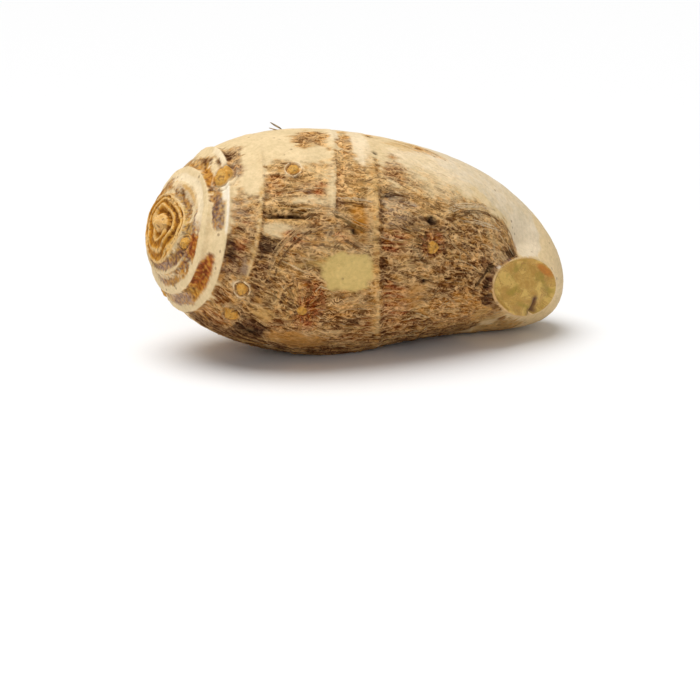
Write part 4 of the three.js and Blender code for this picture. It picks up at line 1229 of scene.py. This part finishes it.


# Fibre grain: long streaks of noise along the grain coordinates, and an even mottle on the
# object's coordinates. Streaks colour the tone only where there is bark, and the gaps between fibres are
# darkened with painted shade.
def makeGrainGroup():
    tree, given, out = newGroup("rootGrain", (
        ("Tone", "Color", None), ("Bark", "Float", 0.5), ("Grain", "Vector", None),
        ("Place", "Vector", None), ("Streak contrast", "Float", 0.7), ("Mottle", "Float", 0.12),
        ("Speckles", "Float", 0.5)), (("Color", "Color"), ("Roughness", "Float"), ("Height", "Float")))

    def times(a, b, clamp=False):
        return compute(tree, "MULTIPLY", a, b, clamp)

    def plus(a, b):
        return compute(tree, "ADD", a, b)

    def wander(scale, reach):
        drift = noiseTexture(tree, given["Grain"], scale, 1.0)["Color"]
        return vectorMath(tree, "MULTIPLY", vectorMath(tree, "SUBTRACT", drift, (0.5, 0.5, 0.5)), reach)

    flow = vectorMath(tree, "ADD", given["Grain"], wander(0.28, (0, 2.0, 2.0)))
    wavy = vectorMath(tree, "ADD", flow, wander(0.85, (0.8, 1.5, 1.5)))
    stretched = put(tree, "Mapping", {"Vector": wavy, "Scale": (0.26, 1.15, 1.15)}).outputs[0]
    net = put(tree, "TexVoronoi", {"Vector": stretched, "Scale": 1.0}, feature="DISTANCE_TO_EDGE")
    border = net.outputs["Distance"]
    streaks = noiseTexture(tree, stretched, 0.9, 3.0, {"Roughness": 0.6})["Fac"]
    thread = between(tree, border, 0.15, 0.05)
    # painted shade in the gaps between fibres
    gap = times(between(tree, border, 0.06, 0.18), between(tree, streaks, 0.44, 0.6))
    fine = noiseTexture(tree, given["Place"], grainLook["fineScale"], 3.0, {"Roughness": 0.65})["Fac"]
    broad = noiseTexture(tree, given["Place"], grainLook["broadScale"], 2.0)["Fac"]
    strength = times(given["Bark"], given["Streak contrast"])
    dark = blendColour(tree, 1.0, given["Tone"], grainLook["gapShadeTint"], "MULTIPLY")
    colour = blendColour(tree, times(gap, strength, True), given["Tone"], dark)
    lifted = blendColour(tree, 1.0, given["Tone"], grainLook["threadTint"], "MULTIPLY")
    depth = put(tree, "RGBToBW", {0: given["Tone"]}).outputs[0]
    share = compute(tree, "MULTIPLY_ADD", between(tree, depth, 0.0, 0.16), 0.36, c=0.08)
    light = blendColour(tree, share, lifted, grainLook["thread"])
    colour = blendColour(tree, times(thread, strength, True), colour, light)
    mottle = plus(times(fine, 0.6), times(broad, 0.4))
    spread = compute(tree, "SUBTRACT", mottle, 0.5)
    factor = plus(1.0, times(spread, times(given["Mottle"], 4.0)))
    grey = put(tree, "CombineColor", {0: factor, 1: factor, 2: compute(tree, "POWER", factor, 1.3)})
    colour = blendColour(tree, 1.0, colour, grey.outputs[0], "MULTIPLY")
    cells = put(tree, "TexVoronoi", {
        "Vector": given["Place"], "Scale": grainLook["speckleScale"], "Randomness": 1.0})
    dots = times(between(tree, cells.outputs["Distance"], 0.24, 0.12), between(tree, broad, 0.5, 0.62))
    colour = blendColour(tree, times(dots, given["Speckles"], True), colour, grainLook["speckle"])
    roughness = put(tree, "MapRange", {0: given["Bark"], 3: 0.5, 4: 0.8}).outputs[0]
    ridges = times(compute(tree, "SUBTRACT", thread, gap), given["Bark"])
    tree.links.new(colour, out["Color"])
    tree.links.new(plus(roughness, times(spread, 0.3)), out["Roughness"])
    tree.links.new(plus(times(ridges, 0.6), times(mottle, 0.8)), out["Height"])
    return tree


def newMaterial(name, constants):
    material = bpy.data.materials.new(name)
    material.use_nodes = True
    tree = material.node_tree
    tree.nodes.clear()
    shader = put(tree, "BsdfPrincipled", constants)
    put(tree, "OutputMaterial", {"Surface": shader.outputs[0]})
    return material, tree, shader


def attribute(tree, label, output):
    return put(tree, "Attribute", attribute_name=label).outputs[output]


# Skin and fibres: the painted tone run through the grain group, with its height as a fine bump
def makeSkinMaterial(name, grainGroup, values, constants):
    material, tree, shader = newMaterial(name, constants)
    grain = tree.nodes.new("ShaderNodeGroup")
    grain.node_tree = grainGroup
    place = put(tree, "TexCoord").outputs["Object"]
    tree.links.new(attribute(tree, "tone", "Color"), grain.inputs["Tone"])
    tree.links.new(attribute(tree, "bark", "Fac"), grain.inputs["Bark"])
    tree.links.new(attribute(tree, "grain", "Vector"), grain.inputs["Grain"])
    tree.links.new(place, grain.inputs["Place"])
    for label, value in values.items():
        grain.inputs[label].default_value = value
    bump = put(tree, "Bump", {"Height": grain.outputs["Height"], "Strength": 0.55, "Distance": 0.0005})
    tree.links.new(grain.outputs["Color"], shader.inputs["Base Color"])
    tree.links.new(grain.outputs["Roughness"], shader.inputs["Roughness"])
    tree.links.new(bump.outputs[0], shader.inputs["Normal"])
    return material


# Scar flesh: tan and olive clouds, an orange streak near the upper right of the rim, thin veins,
# and umber in the crack that is the cut's own brown with painted shade. Places on the scar are millimetres
# across and up from its middle.
def makeFleshMaterial():
    material, tree, shader = newMaterial("scarFlesh", {"IOR": 1.45, "Specular IOR Level": 0.4})
    place = attribute(tree, "scarPlace", "Vector")
    clouds = noiseTexture(tree, place, 0.33, 4.0, {"Roughness": 0.6, "Distortion": 0.7})["Fac"]
    fine = noiseTexture(tree, place, 1.7, 4.0, {"Roughness": 0.65})["Fac"]
    olive = noiseTexture(tree, place, 0.24, 3.0, {"W": 4.0}, noise_dimensions="4D")["Fac"]
    colour = blendColour(tree, between(tree, clouds, 0.38, 0.62), rgb("flesh"), rgb("fleshPale"))
    colour = blendColour(tree, between(tree, olive, 0.5, 0.68), colour, rgb("olive"))
    streak = put(tree, "Mapping", {"Vector": place, "Location": (-6.1, -4.4, 0)}).outputs[0]
    turned = put(tree, "Mapping", {"Vector": streak, "Rotation": (0, 0, 0.7)}).outputs[0]
    squeezed = vectorMath(tree, "MULTIPLY", turned, (0.28, 0.95, 1))
    far = put(tree, "VectorMath", {0: squeezed}, operation="LENGTH").outputs["Value"]
    vein = compute(tree, "ABSOLUTE", compute(tree, "SUBTRACT", clouds, 0.52))
    vein = compute(tree, "MULTIPLY", between(tree, vein, 0.016, 0.004), 0.5)
    colour = blendColour(tree, vein, colour, rgb("brown"))
    halfFine = compute(tree, "MULTIPLY", fine, 0.5)
    ragged = compute(tree, "ADD", far, halfFine)
    colour = blendColour(tree, between(tree, ragged, 1.3, 0.7), colour, rgb("orange"))
    mottle = compute(tree, "ADD", halfFine, 0.75)
    grey = put(tree, "CombineColor", {0: mottle, 1: mottle, 2: mottle})
    colour = blendColour(tree, 1.0, colour, grey.outputs[0], "MULTIPLY")
    # brown with painted shade in the crack
    colour = blendColour(tree, attribute(tree, "crackNear", "Fac"), colour, rgb("umber"))
    bump = put(tree, "Bump", {"Height": fine, "Strength": 0.4, "Distance": 0.0003})
    roughness = put(tree, "MapRange", {0: fine, 3: 0.4, 4: 0.65})
    tree.links.new(colour, shader.inputs["Base Color"])
    tree.links.new(roughness.outputs[0], shader.inputs["Roughness"])
    tree.links.new(bump.outputs[0], shader.inputs["Normal"])
    return material


def rgb(name):
    return (*linear(palette[name]), 1.0)


grainGroup = makeGrainGroup()
waxy = {"IOR": 1.45, "Specular IOR Level": 0.04}
skinMaterial = makeSkinMaterial("rootSkin", grainGroup, {
    "Streak contrast": 1.0, "Mottle": 0.2, "Speckles": 0.6}, waxy)
fibreMaterial = makeSkinMaterial("barkFibre", grainGroup, {
    "Streak contrast": 0.25, "Mottle": 0.2, "Speckles": 0.0}, waxy)
fleshMaterial = makeFleshMaterial()
print("materials ready")

buildSkin([skinMaterial, fleshMaterial])
buildBuds(skinMaterial)
buildFibres("barkFibresFront", 3, (-20, 175), fibreMaterial)
buildFibres("barkFibresBack", 5, (175, 340), fibreMaterial)

# Metres, watts and degrees
stage = {
    "floorHalf": 5.0,
    "floorShade": (0.9, 0.9, 0.9, 1),
    "worldStrength": 0.3,
    "sunStrength": 2.75,
    "sunAngle": 50.0,
    "sunFrom": (-0.2, 0.12, 1.0),
    "lampAt": (-0.4, -1.1, 0.45),
    "lampTarget": (0, 0, 0.03),
    "lampSize": 0.6,
    "lampPower": 2.6,
    "eye": (-0.3085, -0.7188, 0.1954),
    "target": (-0.00497, -0.00427, -0.00059),
    "focalPixels": 2900,
    "framePixels": 700,
    "sensor": 36.0,  # millimetres
}


def buildFloor():
    half = stage["floorHalf"]
    corners = [(-half, -half, 0), (half, -half, 0), (half, half, 0), (-half, half, 0)]
    mesh = bpy.data.meshes.new("floor")
    mesh.from_pydata(corners, [], [(0, 1, 2, 3)])
    mesh.materials.append(newMaterial("paleFloor", {
        "Base Color": stage["floorShade"], "Roughness": 0.6, "Specular IOR Level": 0.2})[0])
    addObject("floor", mesh)


# Turned to look from one place to another
def aim(thing, place, target):
    thing.location = place
    thing.rotation_euler = (Vector(target) - Vector(place)).to_track_quat("-Z", "Y").to_euler()


def addLights():
    lamp = bpy.data.lights.new("frontSoft", "AREA")
    lamp.shape = "DISK"
    lamp.size = stage["lampSize"]
    lamp.energy = stage["lampPower"]
    aim(addObject("frontSoft", lamp), stage["lampAt"], stage["lampTarget"])
    sun = bpy.data.lights.new("overhead", "SUN")
    sun.energy = stage["sunStrength"]
    sun.angle = math.radians(stage["sunAngle"])
    turn = Vector(stage["sunFrom"]).to_track_quat("Z", "Y").to_euler()
    addObject("overhead", sun).rotation_euler = turn
    world = bpy.data.worlds.new("studio")
    world.use_nodes = True
    background = world.node_tree.nodes["Background"].inputs
    background[0].default_value = (1, 1, 1, 1)
    background[1].default_value = stage["worldStrength"]
    bpy.context.scene.world = world


def buildStage():
    buildFloor()
    addLights()
    data = bpy.data.cameras.new("camera")
    data.sensor_width = stage["sensor"]
    data.lens = stage["focalPixels"] / stage["framePixels"] * stage["sensor"]
    camera = addObject("camera", data)
    aim(camera, stage["eye"], stage["target"])
    bpy.context.scene.camera = camera
    bpy.context.scene.view_settings.view_transform = "Standard"
    print("stage ready")


buildStage()
